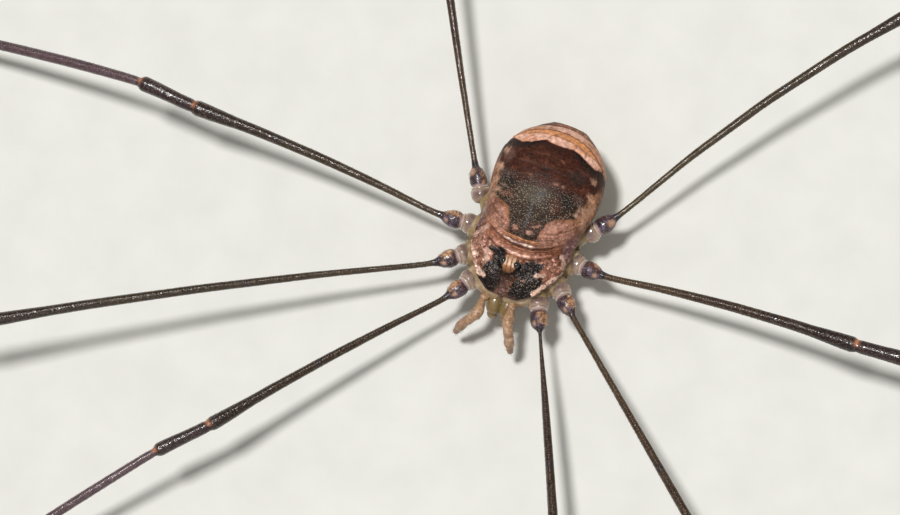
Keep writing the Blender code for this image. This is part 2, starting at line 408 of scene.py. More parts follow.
def cuticle(
    name, grain_mm, bump_um, ior=1.5, tint=0.25, translucent=0.0, coat=0.0, glaze=0.25,
    specks="#a8a292", speck_mm=0.07,
):
    """Hard skin of an arthropod, coloured by the piece's own paint, with fine grains in relief, and
    painted glints: pale dots on some grains, where the piece's glint attribute asks for them."""
    made, tree = new_material(name)
    place = node(tree, "ShaderNodeTexCoord").outputs["Object"]
    paint = attribute(tree, "paint", "Color")
    metal = attribute(tree, "metal")
    rough = attribute(tree, "rough")
    # fine grains and a mottle over several of them
    per_metre = 1.0 / (grain_mm * MM)
    smoothed = {"feature": "SMOOTH_F1"}
    grains = node(tree, "ShaderNodeTexVoronoi", smoothed, Vector=place, Scale=per_metre, Smoothness=0.35)
    over_grains = {"Scale": per_metre / 2.6, "Detail": 5.0, "Roughness": 0.65}
    mottle = node(tree, "ShaderNodeTexNoise", Vector=place, **over_grains).outputs["Fac"]
    shade = ranged(tree, mottle, 0.3, 0.7, 1.0 - tint, 1.0 + tint)
    colour = blend(tree, "MULTIPLY", 1.0, paint, shade)
    # painted glints: pale dots on some of the larger grains
    wanted = attribute(tree, "speck")
    tips = node(tree, "ShaderNodeTexVoronoi", {"feature": "F1"}, Vector=place, Scale=1.0 / (speck_mm * MM))
    near = ranged(tree, tips.outputs["Distance"], 0.20, 0.42, 1.0, 0.0)
    picked = node(tree, "ShaderNodeSeparateColor", i0=tips.outputs["Color"]).outputs[0]
    chosen = ranged(tree, picked, 0.05, 0.60, 0.0, 1.0)
    glint_dots = reckon(tree, "MULTIPLY", near, chosen)
    glint_dots = reckon(tree, "MULTIPLY", glint_dots, wanted)
    colour = blend(tree, "MIX", glint_dots, colour, (*linear(specks), 1.0))
    # the gloss is uneven, and grains and dots stand up
    uneven = reckon(tree, "MULTIPLY_ADD", mottle, 0.3, -0.15)
    gloss = reckon(tree, "ADD", rough, uneven, use_clamp=True)
    relief = reckon(tree, "MULTIPLY_ADD", grains.outputs["Distance"], -0.7, mottle)
    relief = reckon(tree, "MULTIPLY_ADD", glint_dots, 1.2, relief)
    bump = node(tree, "ShaderNodeBump", Strength=1.0, Distance=bump_um * 1e-6, Height=relief)
    bump = bump.outputs["Normal"]
    shader = node(
        tree, "ShaderNodeBsdfPrincipled", Base_Color=colour, Metallic=metal, Roughness=gloss, IOR=ior,
        Normal=bump, Coat_Weight=coat, Coat_Roughness=glaze, Coat_Normal=bump,
        Subsurface_Weight=translucent, Subsurface_Radius=(1.0, 0.6, 0.35), Subsurface_Scale=0.25 * MM,
    )
    node(tree, "ShaderNodeOutputMaterial", Surface=shader.outputs[0])
    return made


def mottled_tone(tree, code, size_mm, detail, low, high):
    """One colour made darker and lighter by a noise, and that noise."""
    place = node(tree, "ShaderNodeTexCoord").outputs["Object"]
    fine = node(tree, "ShaderNodeTexNoise", Vector=place, Scale=1.0 / (size_mm * MM), Detail=detail)
    fine = fine.outputs["Fac"]
    shade = ranged(tree, fine, 0.3, 0.7, low, high)
    return blend(tree, "MULTIPLY", 1.0, (*linear(code), 1.0), shade), fine


def plain_gloss(name, code, roughness, ior=1.5, coat=0.0):
    """Smooth glossy horn or eye glass of one colour, with the faintest unevenness in its gloss."""
    made, tree = new_material(name)
    colour, fine = mottled_tone(tree, code, 0.05, 3.0, 0.75, 1.25)
    gloss = ranged(tree, fine, 0.0, 1.0, roughness, roughness + 0.06)
    shader = node(
        tree, "ShaderNodeBsdfPrincipled", Base_Color=colour, Roughness=gloss,
        IOR=ior, Coat_Weight=coat, Coat_Roughness=0.03,
    )
    node(tree, "ShaderNodeOutputMaterial", Surface=shader.outputs[0])
    return made


# ---------------------------------------------------------------- trunk

# Stations along the body: y, half width, height of the top, of the widest line and of the belly
TRUNK_STATIONS = (
    (-2.73, 0.53, 1.98, 1.86, 1.74),
    (-2.56, 0.79, 2.08, 1.88, 1.72),
    (-2.30, 1.04, 2.20, 1.90, 1.72),
    (-1.92, 1.29, 2.32, 1.92, 1.72),
    (-1.50, 1.49, 2.42, 1.94, 1.72),
    (-1.22, 1.47, 2.48, 1.97, 1.74),
    (-0.90, 1.39, 2.63, 2.00, 1.74),
    (-0.40, 1.48, 2.87, 2.02, 1.74),
    (0.10, 1.60, 3.06, 2.00, 1.50),
    (0.62, 1.70, 3.12, 1.97, 0.95),
    (1.10, 1.71, 3.06, 1.95, 0.68),
    (1.60, 1.62, 2.91, 1.94, 0.66),
    (2.10, 1.37, 2.66, 1.93, 0.82),
    (2.50, 0.96, 2.36, 1.90, 1.10),
    (2.78, 0.48, 2.08, 1.86, 1.45),
)
TRUNK_ROWS = 340
CAP_ROWS = 10
TOP_COLUMNS = 196
BELLY_COLUMNS = 64
# How far the trunk's stations are blended, in rows, and how far its rounded ends stand out, in mm
STATION_BLEND = 15.0
CAP_REACH = 0.05


def spot(x, y, middle, size, turn=0.0, soft=0.35):
    """1 inside an ellipse turned by an angle, and 0 outside, over a soft edge."""
    c, s = math.cos(math.radians(turn)), math.sin(math.radians(turn))
    along = ((x - middle[0]) * c + (y - middle[1]) * s) / size[0]
    across = (-(x - middle[0]) * s + (y - middle[1]) * c) / size[1]
    return 1.0 - smooth(1.0 - soft, 1.0 + soft, np.hypot(along, across))


def stroke(x, y, points, width, soft=0.35):
    """1 near a line through the given points, and 0 away from it, over a soft edge."""
    away = np.full(len(x), 99.0)
    for (x0, y0), (x1, y1) in zip(points, points[1:]):
        along = (x - x0) * (x1 - x0) + (y - y0) * (y1 - y0)
        share = np.clip(along / ((x1 - x0) ** 2 + (y1 - y0) ** 2), 0.0, 1.0)
        away = np.minimum(away, np.hypot(x - x0 - share * (x1 - x0), y - y0 - share * (y1 - y0)))
    return 1.0 - smooth(width * (1.0 - soft), width * (1.0 + soft), away)


def trunk_surface():
    """The bare trunk: each ring is an upper and a lower half ellipse that meet on the widest line.
    Rounded ends close it, with rings that shrink by a cosine as they move on by a sine."""
    body = through(TRUNK_STATIONS, TRUNK_ROWS * 4)
    y = np.linspace(body[0, 0], body[-1, 0] - CAP_REACH, TRUNK_ROWS)
    columns = [soften(np.interp(y, body[:, 0], body[:, k]), STATION_BLEND) for k in range(1, 5)]
    half_width, top_height, middle_height, belly_height = columns
    top = np.linspace(0.0, math.pi, TOP_COLUMNS, endpoint=False)
    below = np.linspace(math.pi, 2 * math.pi, BELLY_COLUMNS, endpoint=False)
    turn = np.concatenate([top, below])
    above, under = (top_height - middle_height)[:, None], (middle_height - belly_height)[:, None]
    height = np.where(np.sin(turn)[None] > 0, above, under)
    lean = TRUNK_X + 0.045 * ridge(y, 0.1, 0.9) - 0.02 * smooth(0.9, 1.6, y)
    x = lean[:, None] + half_width[:, None] * np.cos(turn)[None]
    z = middle_height[:, None] + height * np.sin(turn)[None]
    rings = np.stack([x, np.repeat(y[:, None], len(turn), axis=1), z], axis=-1)
    caps = []
    for ring, reach in ((rings[0], -CAP_REACH), (rings[-1], CAP_REACH)):
        middle = ring.mean(axis=0)
        t = np.linspace(0, math.pi / 2, CAP_ROWS + 2)[1:-1]
        cap = middle + (ring - middle)[None] * np.cos(t)[:, None, None]
        cap[:, :, 1] += (reach * np.sin(t))[:, None]
        caps.append(cap)
    return np.concatenate([caps[0][::-1], rings, caps[1]])


def surface_normals(rings):
    """Outward directions of a closed grid, from the cross product of its two slopes."""
    along = np.gradient(rings, axis=0)
    around = (np.roll(rings, -1, axis=1) - np.roll(rings, 1, axis=1)) / 2
    normal = np.cross(around, along)
    normal /= np.linalg.norm(normal, axis=2)[:, :, None] + 1e-12
    middle = rings.mean(axis=1, keepdims=True)
    if np.einsum("ijk,ijk->", normal, rings - middle) < 0:
        normal = -normal
    return normal


# The dark back's half width on each side: y, right side, left side
SADDLE_EDGE = (
    (-1.07, 0.30, 0.34), (-0.98, 0.43, 0.44), (-0.75, 0.50, 0.50), (-0.50, 0.55, 0.58),
    (-0.35, 0.68, 0.68), (-0.22, 0.98, 0.84), (-0.12, 1.20, 1.10), (0.0, 1.26, 1.28), (0.3, 1.28, 1.38),
    (0.6, 1.36, 1.46), (0.9, 1.48, 1.54), (1.3, 1.58, 1.62), (1.9, 1.90, 1.90),
)
# Heights of the grooves between the last segments
REAR_GROOVES = (1.98, 1.74, 1.52)
# The scalloped line where the dark back ends: x, y
BACK_EDGE = (
    (-1.7, 1.86), (-1.35, 1.76), (-1.1, 1.69), (-0.8, 1.76), (-0.5, 1.93), (-0.38, 1.99), (-0.27, 1.93),
    (0.0, 1.905), (0.3, 1.945), (0.5, 1.96), (0.7, 1.905), (1.0, 1.76), (1.25, 1.67), (1.5, 1.74),
    (1.7, 1.86),
)


def read_off(at, table, column):
    """One column of a table at the given places of its first column, on straight lines between rows."""
    return np.interp(at, [row[0] for row in table], [row[column] for row in table])


def trunk_field():
    """What the trunk's relief and markings are worked out from, for each of its points: place, tilt,
    soft noises of several sizes, places shifted by them, and the wavy lines between its parts."""
    f = SimpleNamespace()
    rings = trunk_surface()
    f.shape = rings.shape[:2]
    f.normal = surface_normals(rings)
    f.p = rings.reshape(-1, 3)
    f.x, f.y, f.z = f.p[:, 0] - TRUNK_X, f.p[:, 1], f.p[:, 2]
    f.up = f.normal.reshape(-1, 3)[:, 2]
    half = read_off(f.y, TRUNK_STATIONS, 1)
    f.edge = np.abs(f.x) / half

    f.broad, f.middling = cloud(f.p, 0.60, 11), cloud(f.p, 0.26, 12)
    f.small, f.fine = cloud(f.p, 0.12, 17), cloud(f.p, 0.05, 13)
    f.wx = f.x + 0.03 * f.middling + 0.03 * f.small + 0.015 * f.fine
    f.wy = f.y + 0.03 * cloud(f.p, 0.26, 14) + 0.03 * cloud(f.p, 0.10, 15) + 0.015 * f.fine
    f.lines = cloud(f.p * (0.25, 1.0, 0.6), 0.075, 16)
    away, f.number = pimples(f.p, 0.055, 21)
    f.grain = np.clip(1.0 - away / 0.55, 0.0, 1.0)
    f.above = smooth(0.0, 0.3, f.up)

    f.side_edge = np.where(f.x < 0, read_off(f.y, SADDLE_EDGE, 1), read_off(f.y, SADDLE_EDGE, 2))
    f.back_edge = read_off(f.x, BACK_EDGE, 1) + 0.012 * f.small + 0.010 * f.fine
    f.seam = 2.43 - 0.02 * f.x - 0.20 * f.x**2 - 0.05 * f.x**4 + 0.012 * f.small
    f.rear = 2.66 - 0.24 * f.x**2 + 0.02 * f.middling
    f.cream_line = 2.21 - 0.16 * (f.x + 0.1) ** 2 + 0.03 * f.middling
    f.fold_place = f.y - 0.245 * f.x**2 - 0.05 * f.x**4 + 0.016 * f.middling + 0.012 * f.small
    f.head_zone = smooth(-1.60, -1.70, f.fold_place)
    f.between = smooth(-1.72, -1.64, f.fold_place) * smooth(-0.15, -0.45, f.y - 0.1 * np.abs(f.x))
    return f


# Folds behind the head shield: where each stands, its half width and height
FOLD_RIDGES = (
    (-1.545, 0.075, 0.040), (-1.37, 0.035, 0.012), (-1.235, 0.060, 0.050), (-1.09, 0.045, 0.026),
)
# The furrows between them: where, half width, depth
FOLD_FURROWS = (
    (-1.66, 0.03, 0.030), (-1.425, 0.025, 0.016), (-1.32, 0.026, 0.038), (-1.165, 0.022, 0.014),
    (-1.06, 0.028, 0.045),
)
# Shallow rings across the back: where, depth
BACK_RINGS = (
    (0.05, 0.004), (0.55, 0.005), (1.02, 0.006), (1.46, 0.007),
)


def trunk_relief(f):
    """Height over the bare trunk in mm: bells along lines and inside ellipses, furrows as bells
    taken away, and a grain at every pimple."""
    high = np.zeros(len(f.p))
    fade = smooth(1.55, 0.75, np.abs(f.x)) * f.above
    for line, wide, tall in FOLD_RIDGES:
        high += tall * (1.0 + 0.5 * f.broad + 0.3 * f.middling) * ridge(f.fold_place, line, wide) * fade
    for line, wide, deep in FOLD_FURROWS:
        high -= deep * (1.0 + 0.6 * f.middling) * ridge(f.fold_place, line, wide) * fade
    shoulder = smooth(0.5, 0.7, np.abs(f.x)) * f.above * smooth(1.6, 1.3, np.abs(f.x))
    high += 0.010 * ridge(f.fold_place, -0.92, 0.07) * shoulder
    for line, deep in BACK_RINGS:
        high -= deep * ridge(f.y, line + 0.05 * f.x**2, 0.045) * f.above
    for line, wide, deep in (
        (f.back_edge + 0.015, 0.022, 0.016), (f.seam, 0.026, 0.026),
        (f.rear, 0.03, 0.022), (f.cream_line, 0.02, 0.008),
    ):
        high -= deep * ridge(f.y, line, wide) * f.above
    high += 0.012 * ridge(f.y, f.back_edge + 0.09, 0.05) * f.above
    # the last segments, one below the other round the rear end
    f.behind = smooth(2.30, 2.50, f.y)
    f.level = f.z + 0.30 * f.x**2 + 0.015 * f.middling
    for height in REAR_GROOVES:
        high -= 0.030 * ridge(f.level, height, 0.030) * f.behind
    # the head shield: a raised rim, swollen corners, a furrow round the mound and in front of it
    raised = ridge(f.edge + 0.02 * f.small, 0.945, 0.045) * smooth(-1.15, -1.35, f.y)
    raised = raised * smooth(-2.62, -2.45, f.y) * f.above
    high += 0.050 * raised * (1.0 + 0.6 * f.small)
    high += 0.045 * spot(f.x, f.y, (0.0, -1.90), (0.36, 0.40), 0.0, 0.6) * f.above
    high -= 0.030 * spot(f.x, f.y, (0.0, -2.42), (0.16, 0.26), 0.0, 0.7) * f.above
    for way in (-1, 1):
        high += 0.035 * spot(f.x, f.y, (way * 1.12, -1.62), (0.30, 0.24), way * 35.0, 0.7) * f.above
        high += 0.040 * spot(f.x, f.y, (way * 0.60, -2.35), (0.42, 0.24), way * 40.0, 0.7) * f.above
        route = ((way * 0.35, -1.66), (way * 0.80, -1.72), (way * 1.02, -2.02), (way * 1.08, -2.2))
        high -= 0.030 * stroke(f.wx, f.wy, route, 0.045, 0.7) * f.above
    creases = np.abs(cloud(f.p * (0.8, 1.0, 1.0), 0.26, 18, 2))
    f.copper_side = smooth(0.75, 0.95, np.abs(f.wx)) * f.head_zone
    creased = np.maximum(f.copper_side, 0.5 * f.between * smooth(1.0, 1.2, np.abs(f.x)))
    high -= 0.007 * smooth(0.14, 0.0, creases) * f.above * creased
    high += (0.010 * f.middling + 0.010 * f.small) * f.above * smooth(0.0, -1.1, f.y)
    high += 0.005 * f.small * f.above
    f.rough_zone = f.above * (smooth(1.1, 0.3, f.y + 0.2 * f.middling) * 0.8 + 0.2) * smooth(2.3, 1.9, f.y)
    f.satin = f.between * smooth(f.side_edge - 0.02, f.side_edge + 0.05, np.abs(f.wx))
    f.rough_zone = f.rough_zone * (1.0 - 0.7 * np.clip(f.satin, 0.0, 1.0))
    high += 0.012 * f.grain * f.rough_zone * (0.3 + 0.7 * f.number)
    high += 0.004 * f.lines * f.above * smooth(0.2, 1.0, f.y)
    # a soft fold along the side of the waist
    f.waist = smooth(-1.35, -1.05, f.y) * smooth(-0.25, -0.55, f.y)
    side_fold = ridge(f.z, 1.93, 0.12) * f.waist * smooth(0.5, 0.1, f.up)
    high += 0.10 * side_fold * (1.0 + 0.25 * f.middling)
    return high


def shield_ground(f):
    """The head shield's mottled copper: paler and darker flecks where the noises are high or low."""
    fleck = f.small + f.fine
    right = spot(f.wx, f.wy, (-1.10, -1.80), (0.42, 0.42), 0.0, 0.8) * smooth(-0.4, 0.4, fleck)
    left = spot(f.wx, f.wy, (1.05, -1.95), (0.40, 0.45), 0.0, 0.8) * smooth(-0.1, 0.6, fleck)
    return layers(plain("#744a39", f.p), (
        ("#94644f", smooth(-0.3, 0.5, f.middling + 0.3 * f.small) * 0.8),
        ("#c9998a", smooth(0.25, 0.8, f.small + 0.35 * f.middling + 0.5 * f.fine) * 0.8),
        ("#3c2318", smooth(0.15, 0.7, -f.small - 0.35 * f.middling - 0.4 * f.fine) * 0.8),
        ("#c29482", right * 0.55),
        ("#4d2b20", left * 0.6),
    ))


# Tones along the folds: where, half width, colour, amount
FOLD_TONES = (
    (-1.545, 0.085, "#c08c7a", 0.85), (-1.38, 0.040, "#8d5940", 0.6), (-1.235, 0.050, "#8f6656", 0.85),
    (-1.115, 0.040, "#b07a52", 0.9),
)
# Dark lines and painted shade in the furrows: where, half width, amount, whether broken up, where they fade
# out across
FURROW_LINES_AND_SHADE = (
    (-1.655, 0.03, 0.8, True, (1.0, 0.4)), (-1.425, 0.022, 0.55, True, (1.0, 0.4)),
    (-1.32, 0.028, 0.9, True, (1.35, 0.8)), (-1.17, 0.018, 0.5, True, (1.0, 0.4)),
    (-1.07, 0.024, 0.95, False, (1.35, 0.8)),
)


def lay_folds(f, paint):
    """Satin brown between the shield and the back, with a tone for each fold, and dark lines with painted
    shade in the furrows.
    """
    paler = smooth(0.1, 0.8, cloud(f.p * (1.0, 1.0, 0.5), 0.34, 33))
    brown = layers(plain("#7c4c34", f.p), (
        ("#a26d4e", smooth(-0.2, 0.7, f.middling + 0.3 * f.small) * 0.7),
        ("#c08f74", paler * smooth(0.75, 1.1, np.abs(f.x)) * 0.7),
    ))
    for line, wide, code, amount in FOLD_TONES:
        brown = mix(brown, code, ridge(f.fold_place, line, wide) * amount * smooth(1.1, 0.55, np.abs(f.x)))
    for way in (-1, 1):
        shoulder = spot(f.x + 0.1 * f.middling, f.y, (way * 0.98, -0.66), (0.46, 0.26), way * 35.0, 0.7)
        brown = mix(brown, "#b8866f", shoulder * 0.7)
    broken_up = 0.6 + 0.4 * smooth(0.05, 0.5, cloud(f.p * (0.8, 1.3, 1.0), 0.13, 34))
    mottled = ridge(f.fold_place, -1.245, 0.055) * smooth(0.85, 0.4, np.abs(f.x))
    brown = layers(brown, (
        ("#3a2a2b", mottled * smooth(0.0, 0.5, -f.small - 0.4 * f.fine) * 0.85),
        ("#9c8e92", mottled * smooth(0.2, 0.7, f.fine + 0.4 * f.small) * 0.7),
        ("#e6c7b6", spot(f.wx, f.fold_place, (-0.29, -1.255), (0.15, 0.040), 0.0, 0.5) * 0.9),
        ("#e6c7b6", spot(f.wx, f.fold_place, (0.29, -1.250), (0.17, 0.045), 0.0, 0.5) * broken_up),
        ("#e0bca9", spot(f.wx, f.fold_place, (0.0, -1.565), (0.40, 0.030), 0.0, 0.7) * 0.6),
    ))
    # the furrows darkened: partly dark lines between the segments, partly painted shade
    for line, wide, amount, is_broken, (far, near) in FURROW_LINES_AND_SHADE:
        broken = 0.55 + 0.45 * smooth(-0.4, 0.4, f.broad + f.middling) if is_broken else 1.0
        reach = smooth(far, near, np.abs(f.x))
        brown = mix(brown, "#2e1712", ridge(f.fold_place, line, wide) * amount * broken * reach)
    right_folds = smooth(0.30, 0.70, f.x) * smooth(1.60, 1.20, f.x) * smooth(-0.95, -1.08, f.fold_place)
    brown = mix(brown, "#4a2818", right_folds * smooth(-1.0, 0.2, f.middling + f.small) * 0.65)
    brown_from = f.fold_place - 0.10 * smooth(0.45, 0.8, np.abs(f.x))
    brown_to = smooth(0.2, -0.1, f.y - smooth(0.6, 1.3, np.abs(f.x)))
    return mix(paint, brown, smooth(-1.71, -1.65, brown_from) * brown_to)


def lay_flanks(f, paint):
    """Margins beside the back, the flanks and the belly, by how far the skin tilts, and the plum
    brown of the waist."""
    margin = layers(plain("#8c6046", f.p), (
        ("#583626", smooth(-0.1, 0.8, f.middling) * 0.7),
        ("#c08f6e", smooth(0.0, 0.8, f.small - 0.2 * f.middling) * smooth(1.1, 0.7, f.y) * 0.75),
        ("#3a231b", smooth(0.85, 1.35, f.y) * 0.75),
    ))
    paint = mix(paint, margin, smooth(-0.45, -0.1, f.y) * smooth(2.0, 1.6, f.y))
    f.streaks = cloud(f.p * (1.3, 0.7, 1.0), 0.20, 38)
    sides = smooth(0.75, 1.0, np.abs(f.x)) * smooth(-1.15, -0.95, f.y) * smooth(1.5, 1.0, f.y)
    paint = mix(paint, "#452619", sides * smooth(0.0, 0.55, f.streaks + 0.3 * f.fine) * 0.65)
    # flanks: brown, yellower in front and paler below; purple brown at the waist
    flank = layers(plain("#8c7450", f.p), (
        ("#6b4c34", smooth(0.0, 0.8, f.middling) * 0.6),
        ("#5c4031", smooth(0.5, 1.4, f.y) * smooth(-0.6, 0.0, f.up) * 0.9),
        ("#8b6a58", smooth(-0.9, -1.3, f.y) * 0.8),
    ))
    paint = layers(paint, (
        (flank, smooth(0.25, -0.05, f.up + 0.08 * f.middling) * (0.3 + 0.7 * smooth(-1.25, -0.95, f.y))),
        ("#a8977a", smooth(-0.35, -0.75, f.up + 0.1 * f.middling)),
    ))
    plum = mix(plain("#664746", f.p), "#b59590", smooth(0.1, 0.8, f.small + 0.4 * f.fine) * 0.8)
    at_waist = f.waist * smooth(0.84, 0.95, f.edge + 0.04 * f.middling)
    return mix(paint, plum, at_waist * smooth(-0.4, 0.0, f.up) * 0.9)


# Copper patches: points on the way, half width, amount
COPPER_STROKES = (
    (((-0.70, -0.92), (-1.10, -0.62), (-1.34, -0.30)), 0.20, 0.45),
    (((0.66, -0.92), (1.05, -0.66), (1.30, -0.30)), 0.18, 0.35),
    (((-0.64, -0.84), (-0.82, -0.60)), 0.13, 0.85), (((-0.82, -0.58), (-1.00, -0.44)), 0.09, 0.85),
    (((-1.0, -0.40), (-1.30, -0.28)), 0.05, 0.7), (((0.62, -0.82), (0.72, -0.55)), 0.12, 0.75),
    (((0.74, -0.50), (0.96, -0.33)), 0.11, 0.70), (((1.12, -0.66), (1.24, -0.36)), 0.04, 0.6),
    (((1.0, -0.32), (1.22, -0.20)), 0.05, 0.6),
)
# Furrows in front of them: where, how wavy, half width, where they begin across, amount
COPPER_FURROWS = (
    (-0.86, 0.05, 0.035, (0.5, 0.8), 0.7),
    (-0.98, 0.04, 0.022, (0.4, 0.7), 0.6),
)


def lay_copper(f, paint):
    """Pale copper patches behind the folds, drawn as broad ragged strokes of grains."""
    f.copper = layers(plain("#c69583", f.p), (
        ("#8a5a48", smooth(-0.2, 0.6, f.fine + 0.6 * f.small) * 0.7),
        ("#d9b3a3", smooth(0.1, 0.7, f.middling + 0.5 * f.fine) * 0.4),
        ("#6b3f32", smooth(0.35, 0.0, f.grain) * 0.45),
        # grain tops painted pale pink as glints
        ("#f0d3c4", smooth(0.35, 0.8, f.grain) * f.number * 0.7),
    ))
    for route, wide, amount in COPPER_STROKES:
        patchy = 1.0 - 0.7 * smooth(0.05, 0.5, f.streaks + 0.3 * f.fine) * smooth(0.7, 1.0, np.abs(f.x))
        laid = stroke(f.wx + 0.05 * f.fine, f.wy + 0.10 * f.small, route, wide, 0.9)
        paint = mix(paint, f.copper, laid * amount * patchy)
    for line, wave, wide, (low, top), amount in COPPER_FURROWS:
        furrow = ridge(f.fold_place, line + wave * f.small, wide) * smooth(low, top, np.abs(f.x))
        paint = mix(paint, "#5d3626", furrow * f.above * amount)
    return paint


# Dark and pale places on the back, among them a painted sheen in its middle: middle, half sizes, colour,
# amount
BACK_SPOTS_AND_SHEEN = (
    ((0.95, 0.38), (0.26, 0.22), "#12100f", 0.85), ((-0.90, 0.36), (0.24, 0.14), "#1c1816", 0.7),
    ((0.65, 0.10), (0.18, 0.24), "#45251b", 0.9), ((-0.88, -0.02), (0.22, 0.07), "#6d4636", 0.8),
    ((-0.55, 0.25), (0.16, 0.2), "#3c281e", 0.6), ((0.9, -0.1), (0.30, 0.05), "#3b2019", 0.7),
    ((-0.25, -0.92), (0.3, 0.06), "#4a2d25", 0.7), ((0.25, -0.72), (0.2, 0.2), "#4b2c24", 0.5),
    ((0.0, 0.52), (1.1, 0.06), "#3a1812", 0.5), ((-1.1, 0.60), (0.3, 0.14), "#3d3636", 0.5),
    ((1.2, 0.55), (0.16, 0.16), "#55403c", 0.5), ((0.95, 1.15), (0.28, 0.22), "#2a211e", 0.7),
    # the next two are the painted sheen: a lighter olive and a blue-grey place where light is reflected
    ((-0.12, 0.16), (0.42, 0.26), "#544b3a", 0.4), ((0.18, 0.22), (0.14, 0.22), "#54565a", 0.3),
    ((0.0, -0.35), (0.055, 0.55), "#4f5156", 0.5), ((-1.25, 1.15), (0.14, 0.2), "#6a4c42", 0.6),
    ((-0.60, 1.12), (0.3, 0.05), "#5d3a2f", 0.5), ((0.42, 0.72), (0.10, 0.04), "#93685a", 0.6),
    ((0.68, 0.72), (0.05, 0.04), "#9b7262", 0.6), ((-0.4, 0.72), (0.16, 0.04), "#6e4638", 0.5),
    ((0.35, 1.45), (0.08, 0.04), "#8a5c48", 0.5), ((-0.15, 1.5), (0.10, 0.04), "#6d4334", 0.5),
)
# Copper flecks on the back's front end: middle, half sizes, turn in degrees, amount
COPPER_SPOTS = (
    ((-0.27, -0.86), (0.10, 0.045), -18.0, 0.85), ((0.20, -0.87), (0.10, 0.055), 8.0, 0.85),
    ((0.36, -0.64), (0.07, 0.04), 20.0, 0.6), ((0.26, -0.68), (0.04, 0.03), 0.0, 0.6),
)


def lay_back(f, paint):
    """The dark back: sooty grains in front, red brown behind, its own dark and pale places, and a painted
    sheen in its middle.
    """
    f.saddle = smooth(0.03, -0.03, np.abs(f.wx) - f.side_edge) * smooth(-1.085, -1.06, f.fold_place)
    f.saddle = f.saddle * smooth(0.02, -0.02, f.y - f.back_edge) * smooth(-0.15, 0.1, f.up)
    dark = layers(plain("#33241b", f.p), (
        ("#1b120d", smooth(0.0, 0.6, f.small + 0.6 * f.fine) * 0.8),
        ("#3a1809", smooth(0.30, 0.75, f.wy + 0.15 * f.middling)),
        ("#6d3f32", smooth(0.1, 0.9, f.lines + 0.5 * f.small) * smooth(0.5, 0.9, f.y) * 0.4),
        ("#1e0b06", smooth(0.1, 0.9, -f.lines + 0.4 * f.broad) * smooth(0.4, 0.8, f.y) * 0.75),
        ("#361207", smooth(-0.1, 0.6, cloud(f.p, 0.34, 37) + 0.3 * f.lines) * smooth(0.5, 0.8, f.y) * 0.75),
        ("#120502", ridge(f.y, f.back_edge - 0.07, 0.15) * (0.35 + 0.65 * smooth(0.3, 0.8, np.abs(f.x)))),
        ("#2a1a16", smooth(0.75, 1.3, np.abs(f.x)) * smooth(1.0, 1.6, f.y) * 0.7),
    ))
    for middle, size, code, amount in BACK_SPOTS_AND_SHEEN:
        dark = mix(dark, code, spot(f.wx, f.wy, middle, size, 0.0, 0.6) * amount)
    paint = mix(paint, dark, f.saddle)
    for middle, size, turned, amount in COPPER_SPOTS:
        paint = mix(paint, f.copper, spot(f.wx, f.wy, middle, size, turned, 0.35) * amount)
    return paint


# Cream spots: middle, half sizes, amount
CREAM_SPOTS = (
    ((-1.20, 0.06), (0.14, 0.07), 0.7), ((-1.38, 0.36), (0.10, 0.09), 0.9),
    ((-1.41, 0.76), (0.10, 0.10), 0.9), ((-1.40, 1.30), (0.06, 0.11), 0.8),
    ((-1.02, 0.20), (0.05, 0.03), 0.5), ((1.29, 0.10), (0.07, 0.05), 0.85),
    ((1.47, 0.32), (0.08, 0.12), 0.8), ((1.50, 0.76), (0.06, 0.10), 0.9),
    ((1.38, 1.31), (0.05, 0.08), 0.8), ((1.60, 0.52), (0.05, 0.14), 0.7),
    ((1.28, 0.30), (0.05, 0.10), 0.5), ((-1.52, 0.0), (0.06, 0.16), 0.6),
    ((1.50, 0.02), (0.06, 0.16), 0.6), ((-1.34, -0.12), (0.14, 0.05), 0.5),
)


def lay_cream_spots(f, paint):
    """Ragged cream spots along both sides."""
    cream_spot = mix(plain("#d3a990", f.p), "#ab7c5f", smooth(-0.4, 0.6, f.fine + f.small) * 0.6)
    for middle, size, amount in CREAM_SPOTS:
        laid = spot(f.wx + 0.05 * f.small, f.wy + 0.05 * f.fine, middle, size, 0.0, 1.0)
        paint = mix(paint, cream_spot, laid * amount * 0.8)
    return paint


# Fine creases in the cream band, as points on their ways
REAR_CREASES = (
    ((-0.38, 1.97), (-0.33, 2.10), (-0.20, 2.26)), ((0.5, 1.97), (0.46, 2.12)),
    ((-0.95, 1.72), (-0.72, 2.0)), ((0.95, 1.78), (0.8, 2.05)),
)


